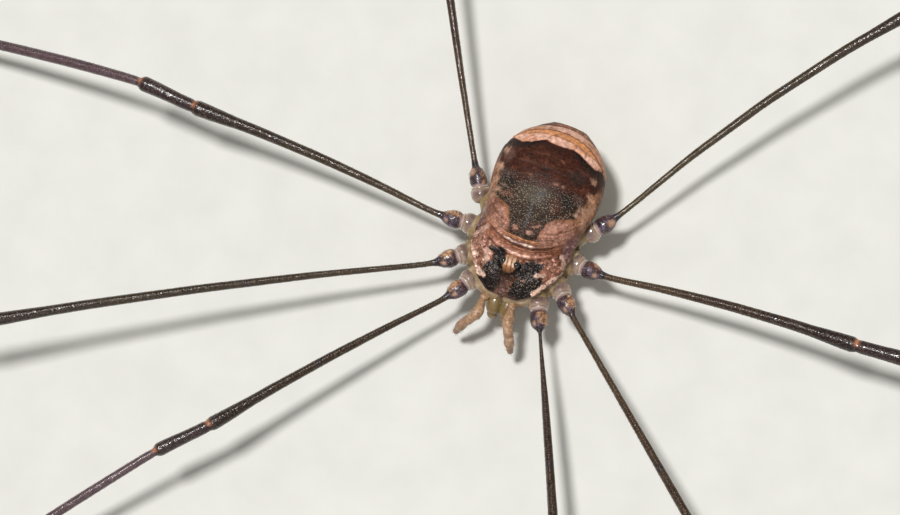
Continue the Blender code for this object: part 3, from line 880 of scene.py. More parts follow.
def lay_rear(f, paint):
    """The cream band behind the back, a pinkish one, and the tail's grooved segments."""
    cream = smooth(-0.015, 0.015, f.y - f.back_edge) * smooth(0.02, -0.02, f.y - f.seam)
    cream = cream * smooth(-0.1, 0.1, f.up)
    wrinkles = cloud(f.p * (1.0, 0.45, 0.6), 0.11, 19)
    pale = smooth(-0.1, 0.7, f.middling + 0.6 * wrinkles + 0.4)
    tan = layers(plain("#c48b6a", f.p), (
        ("#dcae9b", pale * smooth(0.06, -0.10, f.y - f.cream_line) * 0.9),
        ("#96603c", smooth(0.1, 0.9, wrinkles - 0.3 * f.small) * 0.55),
        ("#8f5a38", ridge(f.y, f.cream_line, 0.022) * 0.7),
        ("#c6834c", smooth(0.0, 0.10, f.y - f.cream_line) * 0.75),
    ))
    for route in REAR_CREASES:
        tan = mix(tan, "#8a5636", stroke(f.wx, f.wy, route, 0.018, 0.6) * 0.6)
    tan = mix(tan, "#8f5c3d", smooth(0.05, 0.0, f.y - f.back_edge) * 0.6)
    paint = mix(paint, tan, cream)
    pinkish = smooth(-0.02, 0.02, f.y - f.seam) * smooth(0.02, -0.02, f.y - f.rear)
    pink = layers(plain("#c79c88", f.p), (
        ("#855a45", smooth(0.0, 0.8, wrinkles + 0.4 * f.small) * 0.7),
        ("#a4714f", smooth(0.4, 0.9, np.abs(f.x)) * 0.7),
    ))
    paint = mix(paint, pink, pinkish)
    tail = layers(plain("#7a5544", f.p), (
        ("#b18d79", smooth(0.1, 0.8, f.small) * 0.5),
        ("#4c3a30", smooth(0.1, 0.6, -f.x + 0.1 * f.middling) * 0.7),
        ("#c8a58e", smooth(2.00, 1.90, f.level) * smooth(0.0, 0.8, f.small + 0.3 * f.fine + 0.3) * 0.5),
    ))
    for height in REAR_GROOVES:
        tail = mix(tail, "#4b2f22", ridge(f.level, height, 0.030) * f.behind * 0.8)
    paint = mix(paint, tail, smooth(-0.02, 0.02, f.y - f.rear) * smooth(1.15, 1.40, f.z))
    for line, wide, amount in ((f.seam, 0.024, 0.85), (f.rear, 0.022, 0.55)):
        paint = mix(paint, "#5a3018", ridge(f.y, line, wide) * amount * f.above)
    return paint


# Black patches of the head shield: points on the way, half width
BLACK_STROKES = (
    (((0.44, -2.72), (0.60, -2.50), (0.84, -2.16)), 0.255), (((0.34, -2.70), (0.40, -2.40)), 0.19),
    (((-0.52, -2.72), (-0.60, -2.48), (-0.54, -2.18)), 0.24), (((-0.36, -2.64), (-0.32, -2.42)), 0.18),
    (((-0.72, -2.44), (-0.74, -2.58)), 0.16), (((-0.26, -2.08), (-0.42, -1.84), (-0.44, -1.68)), 0.20),
    (((-0.55, -1.68), (-0.74, -1.62)), 0.08), (((0.28, -2.04), (0.46, -1.86), (0.62, -1.74)), 0.175),
    (((0.55, -1.70), (0.86, -1.64)), 0.075), (((0.42, -2.12), (0.66, -1.95), (0.74, -1.78)), 0.10),
    (((0.86, -2.12), (0.94, -2.02)), 0.08),
)
# Bright rims and corners: points on the way, half width, amount
BRIGHT_STROKES = (
    (((-0.68, -2.42), (-0.95, -2.27), (-1.12, -2.14)), 0.065, 0.95),
    (((-1.12, -2.10), (-1.22, -1.98)), 0.05, 0.6),
    (((-1.14, -1.90), (-1.32, -1.78), (-1.46, -1.62)), 0.07, 0.95),
    (((-0.78, -1.96), (-0.86, -1.74)), 0.09, 0.55),
    (((-1.38, -1.38), (-1.25, -1.22), (-1.12, -1.08)), 0.09, 0.45),
    (((0.84, -2.42), (0.98, -2.28), (1.14, -2.12)), 0.060, 0.95),
    (((1.18, -1.98), (1.32, -1.78), (1.46, -1.58)), 0.050, 0.90),
    (((0.80, -1.92), (1.0, -1.82)), 0.06, 0.6),
    (((1.40, -1.40), (1.40, -1.26), (1.28, -1.12)), 0.060, 0.60),
)


def lay_head_patches(f, paint):
    """Black patches of the head shield and the brown between them, then bright rims and corners."""
    soot = mix(plain("#120f11", f.p), "#3a2c27", smooth(0.2, 0.9, f.small + 0.3 * f.fine) * 0.5)
    sx, sy = f.x + 0.25 * (f.wx - f.x), f.y + 0.25 * (f.wy - f.y)
    f.sooty = np.zeros(len(f.p))
    for route, wide in BLACK_STROKES:
        f.sooty = np.maximum(f.sooty, stroke(sx, sy, route, wide, 0.22))
    paint = layers(paint, (
        (soot, f.sooty * 0.98),
        ("#382520", spot(sx, sy, (-0.02, -2.50), (0.17, 0.32), 0.0, 0.6) * 0.92),
        ("#8a6a60", spot(f.wx, f.wy, (-0.03, -2.64), (0.07, 0.12), 0.0, 0.8) * 0.45),
        ("#2a1a13", spot(sx, sy, (0.0, -2.18), (0.30, 0.14), 0.0, 0.5) * 0.9),
    ))
    bright = mix(plain("#e6c2b0", f.p), "#c08e78", smooth(0.0, 0.8, f.small + f.fine) * 0.6)
    for route, wide, amount in BRIGHT_STROKES:
        paint = mix(paint, bright, stroke(f.wx, f.wy, route, wide, 0.35) * amount * f.above)
    rim_shade = smooth(0.97, 1.0, f.edge) * f.above * smooth(-1.0, -1.3, f.y)
    paint = layers(paint, (
        ("#4a2f26", rim_shade * 0.75),
        ("#5b4038", smooth(-2.66, -2.74, f.y) * smooth(0.5, 0.2, np.abs(f.x - 0.1)) * f.above * 0.7),
    ))
    return paint


def make_trunk(finish):
    """One skin for head shield and abdomen: relief added along the normals, then its markings."""
    f = trunk_field()
    high = trunk_relief(f)
    paint = shield_ground(f)
    for lay in (lay_folds, lay_flanks, lay_copper, lay_back, lay_cream_spots, lay_rear, lay_head_patches):
        paint = lay(f, paint)
    # every grain has its own tone
    grainy = f.rough_zone * np.clip(f.grain * 2.0, 0, 1)
    pitted = f.copper_side * (1.0 - f.sooty) * f.above
    paint = mix(paint, "#45281c", pitted * smooth(0.30, 0.0, f.grain) * smooth(-0.2, 0.5, f.small) * 0.6)
    paint = paint * (1.0 + 0.9 * (f.number - 0.5) * grainy)[:, None]
    paint *= (1.0 + 0.16 * f.fine + 0.12 * f.small + 0.06 * f.broad)[:, None]
    paint = np.clip(paint, 0.003, 1.0)

    bare = np.clip(1.0 - f.saddle - smooth(0.1, -0.2, f.up), 0.0, 1.0)
    metal = np.clip(0.20 * bare * smooth(1.7, 1.2, f.y), 0.0, 1.0)
    rough = 0.42 - 0.12 * bare * smooth(-0.3, -0.9, f.y) + 0.08 * f.saddle + 0.05 * f.fine
    # painted glints: pale grain dots, denser on the back's front end and in its painted sheen, and
    # strongest in two black patches of the head shield
    denser = 0.48 * smooth(0.9, 0.3, f.y) + 0.36 * spot(f.x, f.y, (0.05, 0.05), (0.9, 0.5), 0.0, 0.8)
    speck = 0.08 + f.saddle * denser
    speck = f.above * smooth(2.0, 1.7, f.y) * speck * (1.0 - 0.8 * np.clip(f.satin, 0.0, 1.0))
    left_glint = spot(f.x, f.y, (0.66, -2.26), (0.42, 0.20), 45.0, 0.6)
    glinting = np.maximum(left_glint, spot(f.x, f.y, (-0.62, -2.18), (0.30, 0.14), 20.0, 0.6))
    speck = speck + f.head_zone * f.above * (0.10 + f.sooty * (0.02 + 0.75 * glinting))
    moved = (f.p + f.normal.reshape(-1, 3) * high[:, None]).reshape(*f.shape, 3)
    skin = Shape()
    skin.add_round(moved, dressed(paint, metal=metal, rough=rough, speck=np.clip(speck, 0.0, 1.0)))
    skin.finish("trunk_skin", finish, "abdomen", ("carapace", "abdomen"))


# ---------------------------------------------------------------- eye mound

# The mound's middle, and its half width, half length, half height and the height of its middle
MOUND_AT = (TRUNK_X - 0.015, -1.92)
MOUND_WIDE, MOUND_LONG, MOUND_TALL, MOUND_UP = 0.228, 0.28, 0.235, 2.40
# The eye beads: radius, how flat they are, how far they stand to the side and behind, and how high
EYE_RADIUS, EYE_FLAT, EYE_ASIDE, EYE_BEHIND, EYE_UP = 0.115, 0.9, 0.21, 0.02, 2.525


def make_mound(finish, eye_finish):
    """A rounded block with three lengthwise lobes, its ends drawn in by a root of one minus the
    square; low grains stand on the lobes, and an eye bead on each side."""
    rows, columns = 84, 96
    t = np.linspace(-0.985, 0.985, rows)
    turn = round_turn(columns)
    draw = np.sqrt(1.0 - t**2) ** 0.7
    side, up = np.cos(turn), np.sin(turn)
    square = 1.0 / (np.abs(side) ** 2.6 + np.abs(up) ** 2.6) ** (1 / 2.6)
    x = MOUND_WIDE * draw[:, None] * (side * square)[None] * (1.0 + 0.10 * t[:, None])
    z = MOUND_UP + MOUND_TALL * draw[:, None] * (up * square)[None]
    y = np.repeat((MOUND_AT[1] + MOUND_LONG * t)[:, None], columns, axis=1)
    sway = x + 0.03 * np.sin(7.0 * y + 1.0)
    lobes = 1.0 - 2.0 * (ridge(sway, 0.068, 0.015) + ridge(sway, -0.068, 0.015))
    crown = smooth(0.3, 0.9, up * square)[None]
    z = z + crown * (0.016 * lobes - 0.016) - crown * 0.05 * smooth(0.1, -0.9, t)[:, None]
    rings = np.stack([MOUND_AT[0] + x, y, z], axis=-1)
    p = rings.reshape(-1, 3)
    normal = surface_normals(rings).reshape(-1, 3)
    away, number = pimples(p, 0.058, 41)
    grain = np.clip(1 - away / 0.5, 0, 1)
    fine, small = cloud(p, 0.05, 42), cloud(p, 0.14, 43)
    p = p + normal * (0.012 * grain * (0.4 + 0.6 * number) + 0.006 * fine)[:, None]
    stripes = lobes.ravel()
    forward = np.repeat(t, columns)
    paint = plain("#a06a48", p)
    centred = np.minimum(np.abs(sway.ravel()), np.abs(np.abs(sway.ravel()) - 0.135))
    paint = layers(paint, (
        ("#e0b89c", smooth(0.064, 0.036, centred + 0.012 * small) * smooth(-0.55, -0.2, forward) * 0.95),
        ("#4a2817", smooth(-0.1, -0.8, stripes + 0.3 * small) * 0.9),
        ("#c4813f", smooth(0.0, 0.8, small + 0.3 * fine) * 0.5),
        ("#6f4c2f", smooth(-0.40, -0.75, forward) * 0.7),
        ("#c07e45", smooth(0.45, 0.75, forward) * 0.6),
        ("#2a1b19", smooth(2.50, 2.38, p[:, 2] + 0.02 * fine)),
    ))
    paint = paint * (0.85 + 0.3 * number * np.clip(grain * 2, 0, 1) + 0.1 * fine)[:, None]
    skin = Shape()
    # painted glints: pale dots on some grains
    values = dressed(np.clip(paint, 0, 1), metal=0.1, rough=0.34 + 0.05 * fine, speck=0.5)
    skin.add_round(p.reshape(rows, columns, 3), values)
    skin.finish("eye_mound_skin", finish, "eye_mound", ("eye_mound",))
    for name, way in (("eye_left", 1), ("eye_right", -1)):
        make_eye(name, way, eye_finish)


def make_eye(name, way, finish):
    """A bead a little flattened towards the mound: circles of latitude about a sideways axis."""
    rows, columns = 26, 36
    lift = np.linspace(-math.pi / 2, math.pi / 2, rows + 2)[1:-1]
    turn = round_turn(columns)
    centre = np.array([MOUND_AT[0] + way * EYE_ASIDE, MOUND_AT[1] + EYE_BEHIND, EYE_UP])
    x = np.repeat((way * EYE_RADIUS * EYE_FLAT * np.sin(lift))[:, None], columns, axis=1)
    y = EYE_RADIUS * np.cos(lift)[:, None] * np.cos(turn)[None]
    z = EYE_RADIUS * np.cos(lift)[:, None] * np.sin(turn)[None]
    pole = (way * EYE_RADIUS * EYE_FLAT, 0, 0)
    skin = Shape()
    skin.add_tube(np.stack([x, y, z], axis=-1) + centre, centre - pole, centre + pole, {})
    skin.finish(name + "_bead", finish, "eye", (name,))


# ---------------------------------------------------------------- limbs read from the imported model

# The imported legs: rings in each part, points in a ring, the gap at a joint and the barrel's length
RUN_RINGS = {"femur": 5, "patella": 3, "tibia": 4, "metatarsus": 4, "tarsus": 8}
RING_POINTS = 8
JOINT_GAP = 0.08
BARREL = 0.62
# A leg starts this far inside its clear bulb, whose middle is this far in
LEG_INSET = 0.16
HIP_INSET = 0.28
# Distance between a leg's rings, points in a ring, how far its bends are blended, strips on the map
LEG_STEP = 0.05
LEG_COLUMNS = 20
LEG_BLEND = 0.35
LEG_STRIPS = 8
# A place among the hips, from which each leg's parts are told in order
UNDER_BODY = (0.0, -1.2, 1.5)


def ring_centres(name, count):
    """Middle of each ring of a packed limb: its points sorted along their longest direction."""
    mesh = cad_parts[name].data
    raw = np.zeros(len(mesh.vertices) * 3)
    mesh.vertices.foreach_get("co", raw)
    points = np.unique((raw.reshape(-1, 3) / MM).round(3), axis=0)
    middle = points.mean(axis=0)
    longest = np.linalg.svd(points - middle, full_matrices=False)[2][0]
    points = points[np.argsort((points - middle) @ longest)]
    return points.reshape(count, RING_POINTS, 3).mean(axis=1) - BODY


def leg_path(leg):
    """The leg's middle line from inside its hip to its tip, a point every LEG_STEP, and where its
    parts begin along it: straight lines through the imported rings' middles, with softened bends."""
    runs = []
    near = np.array(UNDER_BODY)
    for run, count in RUN_RINGS.items():
        centres = ring_centres(f"{run}_{leg}", count)
        if np.linalg.norm(centres[0] - near) > np.linalg.norm(centres[-1] - near):
            centres = centres[::-1]
        near = centres[-1]
        runs.append(centres)
    barrel_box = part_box(f"trochanter_{leg}")
    barrel = (np.array(barrel_box[0]) + np.array(barrel_box[1])) / 2 / MM - BODY
    joint = runs[0][0]
    out = unit(joint - barrel)
    start = joint - out * (BARREL + JOINT_GAP / 2)
    hip = start - out * HIP_INSET
    corners = [start - out * LEG_INSET, start, joint - out * JOINT_GAP / 2]
    marks = [len(corners) - 1]
    for centres in runs:
        corners.extend(centres)
        marks.append(len(corners) - 1)
    corners = np.array(corners)
    walked = walked_along(corners)
    at = np.arange(0.0, walked[-1], LEG_STEP)
    line = np.stack([np.interp(at, walked, corners[:, k]) for k in range(3)], axis=1)
    line = soften(line, LEG_BLEND / LEG_STEP)
    begins = [walked[m] + JOINT_GAP / 2 for m in marks]
    begins[-1] = at[-1]
    return hip, out, line, at, begins


# The pale skin that shows at a joint
PALE_JOINT = "#a86d4d"
# Each leg's own colours: femur near the body, middle and far end; a little different leg by leg
FEMUR_COLOURS = {
    "left_1": ("#35241b", "#2c1c13", "#241614"),
    "left_2": ("#3f2e1c", "#332212", "#281912"),
    "left_3": ("#443220", "#2f1e13", "#201312"),
    "left_4": ("#3f321c", "#342715", "#281a12"),
    "right_1": ("#352719", "#2a1d0e", "#221611"),
    "right_2": ("#362818", "#2e2210", "#241712"),
    "right_3": ("#3d2d1a", "#2f2112", "#241611"),
    "right_4": ("#422f20", "#36251a", "#261713"),
}
# A dark ring on each femur, this far along it, by pair
RING_AT = {"1": 4.35, "2": 5.7, "3": 5.4, "4": 6.3}
# Radius along each part as (share of its length, mm)
THICKNESS = {
    "femur": (
        (0.0, 0.100), (0.012, 0.088), (0.05, 0.085), (0.2, 0.098), (0.4, 0.122), (0.65, 0.138),
        (0.82, 0.155), (0.93, 0.200), (0.985, 0.215), (1.0, 0.175),
    ),
    "patella": ((0.0, 0.150), (0.05, 0.178), (0.4, 0.182), (0.8, 0.205), (0.95, 0.212), (1.0, 0.160)),
    "tibia": (
        (0.0, 0.118), (0.03, 0.128), (0.3, 0.138), (0.8, 0.135), (0.95, 0.152), (0.99, 0.150),
        (1.0, 0.11),
    ),
    "metatarsus": ((0.0, 0.085), (0.02, 0.098), (0.5, 0.085), (0.97, 0.080), (1.0, 0.062)),
    "tarsus": ((0.0, 0.062), (0.3, 0.056), (0.7, 0.046), (0.985, 0.036), (1.0, 0.018)),
}
# How narrow the barrel's golden patch is, as the cosine where it begins
GOLD_FROM = {
    "left_1": 0.56, "left_2": 0.62, "left_3": 0.82, "left_4": 0.92,
    "right_1": 0.56, "right_2": 0.56, "right_3": 0.66, "right_4": 0.92,
}
# The barrel's radius, as (place from where it shows, mm); the front left one ends more abruptly
BARREL_RADII = (
    (-0.16, 0.07), (-0.07, 0.18), (0.0, 0.245), (0.10, 0.268), (0.24, 0.265), (0.36, 0.238),
    (0.46, 0.190), (0.54, 0.138), (0.60, 0.108),
)
BARREL_ABRUPT = (
    (-0.16, 0.07), (-0.07, 0.18), (0.0, 0.245), (0.10, 0.265), (0.30, 0.268), (0.42, 0.250),
    (0.50, 0.195), (0.56, 0.115), (0.62, 0.085),
)

# How much stouter the third legs are, the tarsus's beads (length in mm, share drawn in between two)
STOUT = 1.12
BEAD_LENGTH = 0.42
BEAD_WAIST = 0.16
# Pseudo joints of the metatarsus, as shares of its length, and the share drawn in there
NICKS = (0.28, 0.52, 0.72, 0.88)
NICK_WAIST = 0.18


def leg_sizes(leg, line, at, begins):
    """The leg's line, its far part lowered so that its own thinner skin meets the floor, and its
    radius along it: a barrel, a narrow collar, parts that swell towards their far joints, and
    small beads along the tarsus."""
    pair = leg[-1]
    stout = STOUT if pair == "3" else 1.0
    barrel_radii = BARREL_ABRUPT if leg == "left_1" else BARREL_RADII
    radius_at = [(LEG_INSET + place, radius) for place, radius in barrel_radii]
    for run, begin, end in zip(THICKNESS, begins, begins[1:]):
        for share, radius in THICKNESS[run]:
            place = begin + (end - begin) * share + (0.012 if share == 0 else 0.0)
            radius_at.append((place, radius * (stout if run != "tarsus" else 1.0)))
    radius_at = np.array(radius_at)
    radii = np.interp(at, radius_at[:, 0], radius_at[:, 1])
    if leg == "left_1":
        narrow = smooth(begins[0] - 0.06, begins[0], at) * smooth(begins[0] + 2.6, begins[0], at)
        radii = radii * (1.0 - 0.42 * narrow)
    radii = soften(radii, 0.8)
    metatarsus, tarsus, end = begins[3:]
    # lower the far parts on to the floor
    lowered = smooth(metatarsus, tarsus, at)
    target = np.where(at > tarsus, radii, line[:, 2] - lowered * line[-1, 2] + radii * lowered)
    line = line.copy()
    line[:, 2] = soften(target, 3.0)
    line[:, 2] = np.maximum(line[:, 2], radii)
    # beads of the tarsus and pseudo joints of the metatarsus
    beads = np.clip((at - tarsus) / 0.4, 0, 1) * smooth(end + 0.1, end - 0.1, at)
    phase = ((at - tarsus) / BEAD_LENGTH) % 1.0
    before, after = (BEAD_WAIST * beads * ridge(phase, joint, 0.13) for joint in (0.0, 1.0))
    radii = radii * (1.0 - before - after)
    nicks = np.zeros_like(at)
    for share in NICKS:
        nicks += ridge(at, metatarsus + (tarsus - metatarsus) * share, 0.05)
    return line, radii * (1.0 - NICK_WAIST * nicks)


def leg_looks(leg, p, s, a, begins):
    """Colour, gloss and painted glints (pale grain dots) of a leg's points by their place along it and
    round it, and how far the barrel's grains stand out."""
    femur, patella, tibia, metatarsus, tarsus = begins[:5]
    pair = leg[-1]
    side_sign = 1 if leg.startswith("left") else -1
    fine, broad, small = cloud(p, 0.10, 51), cloud(p, 0.5, 52), cloud(p, 0.16, 55)
    joint_side = math.pi / 2 + side_sign * 0.5

    near_tone, mid_tone, far_tone = FEMUR_COLOURS[leg]
    share = (s - femur) / (patella - femur)
    paint = layers(plain(near_tone, p), (
        (mid_tone, smooth(0.1, 0.45, share)),
        (far_tone, smooth(0.6, 0.92, share)),
        ("#231a20", ridge(s, femur + RING_AT[pair], 0.13) * 0.75),
        ("#2b1c1d", smooth(patella - 0.05, patella + 0.05, s)),
        ("#4d3a40", smooth(tibia - 0.05, tibia + 0.15, s)),
        ("#3a2b2c", smooth(metatarsus - 0.6, metatarsus, s) * 0.6),
        ("#5c473c", smooth(metatarsus, metatarsus + 0.3, s)),
        ("#4a3a33", smooth(tarsus, tarsus + 0.5, s)),
    ))
    on_side = smooth(0.45, 0.85, np.cos(a - joint_side))
    for joint in (patella, tibia, metatarsus):
        paint = layers(paint, (
            (PALE_JOINT, ridge(s, joint + 0.02 * broad, 0.07) * on_side * 0.9),
            ("#171013", ridge(s, joint - 0.16, 0.07) * 0.35),
        ))
    # barrel with its golden patch and pale spot, and the blue-black collar
    toward_rear = math.pi / 2 + side_sign * 0.95
    toward_front = math.pi / 2 - side_sign * 0.7
    barrel = smooth(femur + 0.10, femur + 0.02, s)
    skin_tone = layers(plain("#30232d", p), (
        ("#6c5c70", smooth(0.1, 0.8, fine + 0.5 * small) * 0.7),
        ("#5a3a30", smooth(0.1, 0.8, -small) * 0.6),
    ))
    ragged = 0.25 * small + 0.12 * fine
    gold_from = GOLD_FROM[leg]
    gold = smooth(gold_from, gold_from + 0.18, np.cos(a - toward_rear) + ragged)
    uneven = s + 0.1 * small
    gold = gold * smooth(LEG_INSET + 0.02, LEG_INSET + 0.08, uneven)
    gold = gold * smooth(LEG_INSET + 0.50, LEG_INSET + 0.42, uneven)
    away, number = pimples(p, 0.055, 53)
    grain = np.clip(1 - away / 0.45, 0, 1)
    skin_tone = layers(skin_tone, (
        ("#a87856", gold * 0.95),
        ("#3b2218", gold * smooth(0.3, 0.0, grain) * smooth(-0.3, 0.4, -fine) * 0.8),
        # grain tops on the golden patch painted pale as highlights
        ("#f0c79c", gold * smooth(0.20, 0.65, grain) * (0.25 + 0.75 * number)),
    ))
    size = 0.12 if pair == "4" else 0.075
    around = np.angle(np.exp(1j * (a - toward_front))) * 0.22
    pale = np.hypot((s - (LEG_INSET + 0.43)) / size, around / size) + 0.3 * fine
    skin_tone = layers(skin_tone, (
        ("#c79c80", smooth(1.4, 0.5, pale + 0.2 * small) * (0.65 + 0.3 * grain)),
        ("#a98f8c", smooth(LEG_INSET + 0.05, LEG_INSET - 0.02, s)),
        ("#15131c", ridge(s, femur - 0.03, 0.08) * 0.95),
    ))
    paint = mix(paint, skin_tone, barrel)
    paint *= (1.0 + 0.14 * fine + 0.08 * broad)[:, None]
    paint = np.clip(paint, 0.003, 1.0)
    relief = 0.016 * grain * (0.4 + 0.6 * number) * barrel * smooth(LEG_INSET, LEG_INSET + 0.1, s)
    near_parts = smooth(tarsus, metatarsus, s)
    relief += 0.012 * small * barrel + 0.004 * fine * smooth(femur, femur + 0.3, s) * near_parts
    rough = 0.31 + 0.06 * fine + 0.10 * smooth(metatarsus, tarsus, s)
    # painted glints: pale grain dots, most on the barrel's golden patch, few along the shafts
    speck = barrel * (0.22 + 0.78 * gold) + 0.12 * smooth(femur, femur + 0.2, s) * near_parts
    return dressed(paint, metal=0.0, rough=rough, speck=speck), relief


def leg_coat(leg, line, radii, begins, frames, finish):
    """Denticles in rows along femur, patella and tibia; paler ones along the top, a painted highlight line
    in dashes; bristles on the far parts and short hairs on the barrel."""
    heading, side, up = frames
    femur, metatarsus, end = begins[0], begins[3], begins[5]
    generator = np.random.default_rng(100 + LEGS.index(leg))
    groups = []

    def strew(starts, sway, angle, spread, sizes, width, lean, code, dimmest=1.0):
        """Draw one group's places, angles, lengths and, if some are dimmer, how bright each is."""
        count = len(starts)
        spots = starts + generator.uniform(*sway, count)
        angles = angle + generator.uniform(*spread, count)
        lengths = generator.uniform(*sizes, count)
        bright = generator.uniform(dimmest, 1.0, count) if dimmest < 1.0 else np.ones(count)
        tones = linear(code)[None] * bright[:, None]
        groups.append((spots, angles, lengths, np.full(count, width), np.full(count, lean), tones))

    for row_angle in np.arange(5) * 2 * math.pi / 5:
        spots = np.arange(femur + 0.25, metatarsus - 0.1, 0.15)
        strew(spots, (-0.05, 0.05), row_angle, (-0.12, 0.12), (0.022, 0.04), 0.011, 0.8, "#4a3b36")
    # paler denticles along the top: a painted highlight line, broken into dashes
    spots = np.arange(femur + 0.15, metatarsus - 0.1, 0.085)
    strew(spots, (-0.02, 0.02), math.pi / 2, (-0.12, 0.12), (0.014, 0.026), 0.015, 1.0, "#c2b2ab", 0.35)
    spots = np.zeros(int((end - metatarsus) / 0.11))
    far_parts = metatarsus + 0.1, end - 0.05
    strew(spots, far_parts, 0.0, (-0.9, math.pi + 0.9), (0.05, 0.10), 0.0045, 1.6, "#5a4b42")
    on_barrel = LEG_INSET + 0.05, LEG_INSET + 0.5
    strew(np.zeros(46), on_barrel, 0.0, (0, 2 * math.pi), (0.02, 0.05), 0.008, 0.4, "#8a6a48")
    spots, angles, lengths, widths, leans, tones = (np.concatenate(parts) for parts in zip(*groups))

    rows = len(line)
    row = np.clip(spots / LEG_STEP, 0, rows - 2)
    i = row.astype(int)
    t = (row - i)[:, None]
    middle = line[i] * (1 - t) + line[i + 1] * t
    outward = side[i] * np.cos(angles)[:, None] + up[i] * np.sin(angles)[:, None]
    roots = middle + outward * (radii[i] * 0.97)[:, None]
    heads = unit(outward + heading[i] * leans[:, None])
    per_strip = -(-(rows - 1) // LEG_STRIPS)
    strip = i // per_strip
    up_the_map = (strip + (angles / (2 * math.pi)) % 1.0) / LEG_STRIPS
    places = np.stack([(row - strip * per_strip) / per_strip, up_the_map], axis=1)
    places = np.clip(places, 0.001, 0.996)
    # none stands in the floor
    keep = (roots[:, 2] > 0.03) & (roots[:, 2] + heads[:, 2] * lengths > 0.006)
    coat = Shape()
    values = dressed(tones[keep], metal=0.0, rough=0.3)
    coat.add_spikes(roots[keep], heads[keep], lengths[keep], widths[keep], values, places[keep])
    coat.finish(f"leg_{leg}_denticles", finish, "femur")


def make_leg(leg, finish, coat_finish):
    """One skin from the hip to the tip and the coat on it. Gives the hip and the tip, each with
    the leg's direction there."""
    hip, out, line, at, begins = leg_path(leg)
    line, radii = leg_sizes(leg, line, at, begins)
    rings, turn, *frames = ring_along(line, radii, LEG_COLUMNS, lambda a: 1.0 + 0.022 * np.cos(5 * a))
    heading = frames[0]
    p = rings.reshape(-1, 3)
    along = np.repeat(at, LEG_COLUMNS)
    values, relief = leg_looks(leg, p, along, turn.ravel(), begins)
    outward = unit(p - np.repeat(line, LEG_COLUMNS, axis=0))
    rings = (p + outward * relief[:, None]).reshape(len(at), LEG_COLUMNS, 3)
    skin = Shape()
    skin.add_tube(rings, line[0], line[-1] + heading[-1] * 0.01, values, strips=LEG_STRIPS)
    nodes = [f"{run}_{leg}" for run in ("trochanter", *RUN_RINGS)]
    skin.finish(f"leg_{leg}_skin", finish, "femur", nodes)
    leg_coat(leg, line, radii, begins, frames, coat_finish)
    return hip, out, line[-1], heading[-1]


# ---------------------------------------------------------------- coxae

# The coxae's middle, seen from above, the grid over them, and how far their middles reach
PLATE_AT = np.array([0.05, -1.2])
PLATE_ROWS = 110
PLATE_COLUMNS = 300
NICK_REACH = 1.76
FRONT_REACH = 1.70
# The bulbs: half length and radius, their grid, and how far past the hip their middle is
BULB_LONG, BULB_WIDE, BULB_PAST = 0.29, 0.315, 0.02
BULB_ROWS, BULB_COLUMNS = 50, 48


def coxae_outline(hips):
    """Seen from above, the coxae's outline swings out to every hip and in between two, a cosine
    between them. Gives the angles, the reach at each, and how far each is from the nearest nick."""
    ends = np.array([(hip[:2] + out[:2] * BULB_PAST) for hip, out in hips]) - PLATE_AT
    angles = np.arctan2(ends[:, 1], ends[:, 0])
    order = np.argsort(angles)
    angles, reach = angles[order], np.linalg.norm(ends[order], axis=1)
    low = []
    for k in range(8):
        between = (ends[order[k]] + ends[order[(k + 1) % 8]]) / 2
        is_front = between[1] < -1.0 and abs(between[0]) < 0.4
        length = FRONT_REACH if is_front else min(np.linalg.norm(between), NICK_REACH)
        low.append((np.arctan2(between[1], between[0]), length))
    # angles of hips and nicks in turn, unwrapped over three rounds so that the line closes
    knots = np.array(sorted(list(zip(angles, reach)) + low))
    knots = np.vstack([knots - (2 * math.pi, 0), knots, knots + (2 * math.pi, 0)])
    turn = -math.pi + round_turn(PLATE_COLUMNS)
    i = np.clip(np.searchsorted(knots[:, 0], turn) - 1, 0, len(knots) - 2)
    t = (turn - knots[i, 0]) / (knots[i + 1, 0] - knots[i, 0])
    t = 0.5 - 0.5 * np.cos(math.pi * t)
    outline = knots[i, 1] * (1 - t) + knots[i + 1, 1] * t
    nicks = np.array([angle for angle, reach in low])
    nick = np.min(np.abs(np.angle(np.exp(1j * (turn[:, None] - nicks[None])))), axis=1)
    return turn, outline, nick


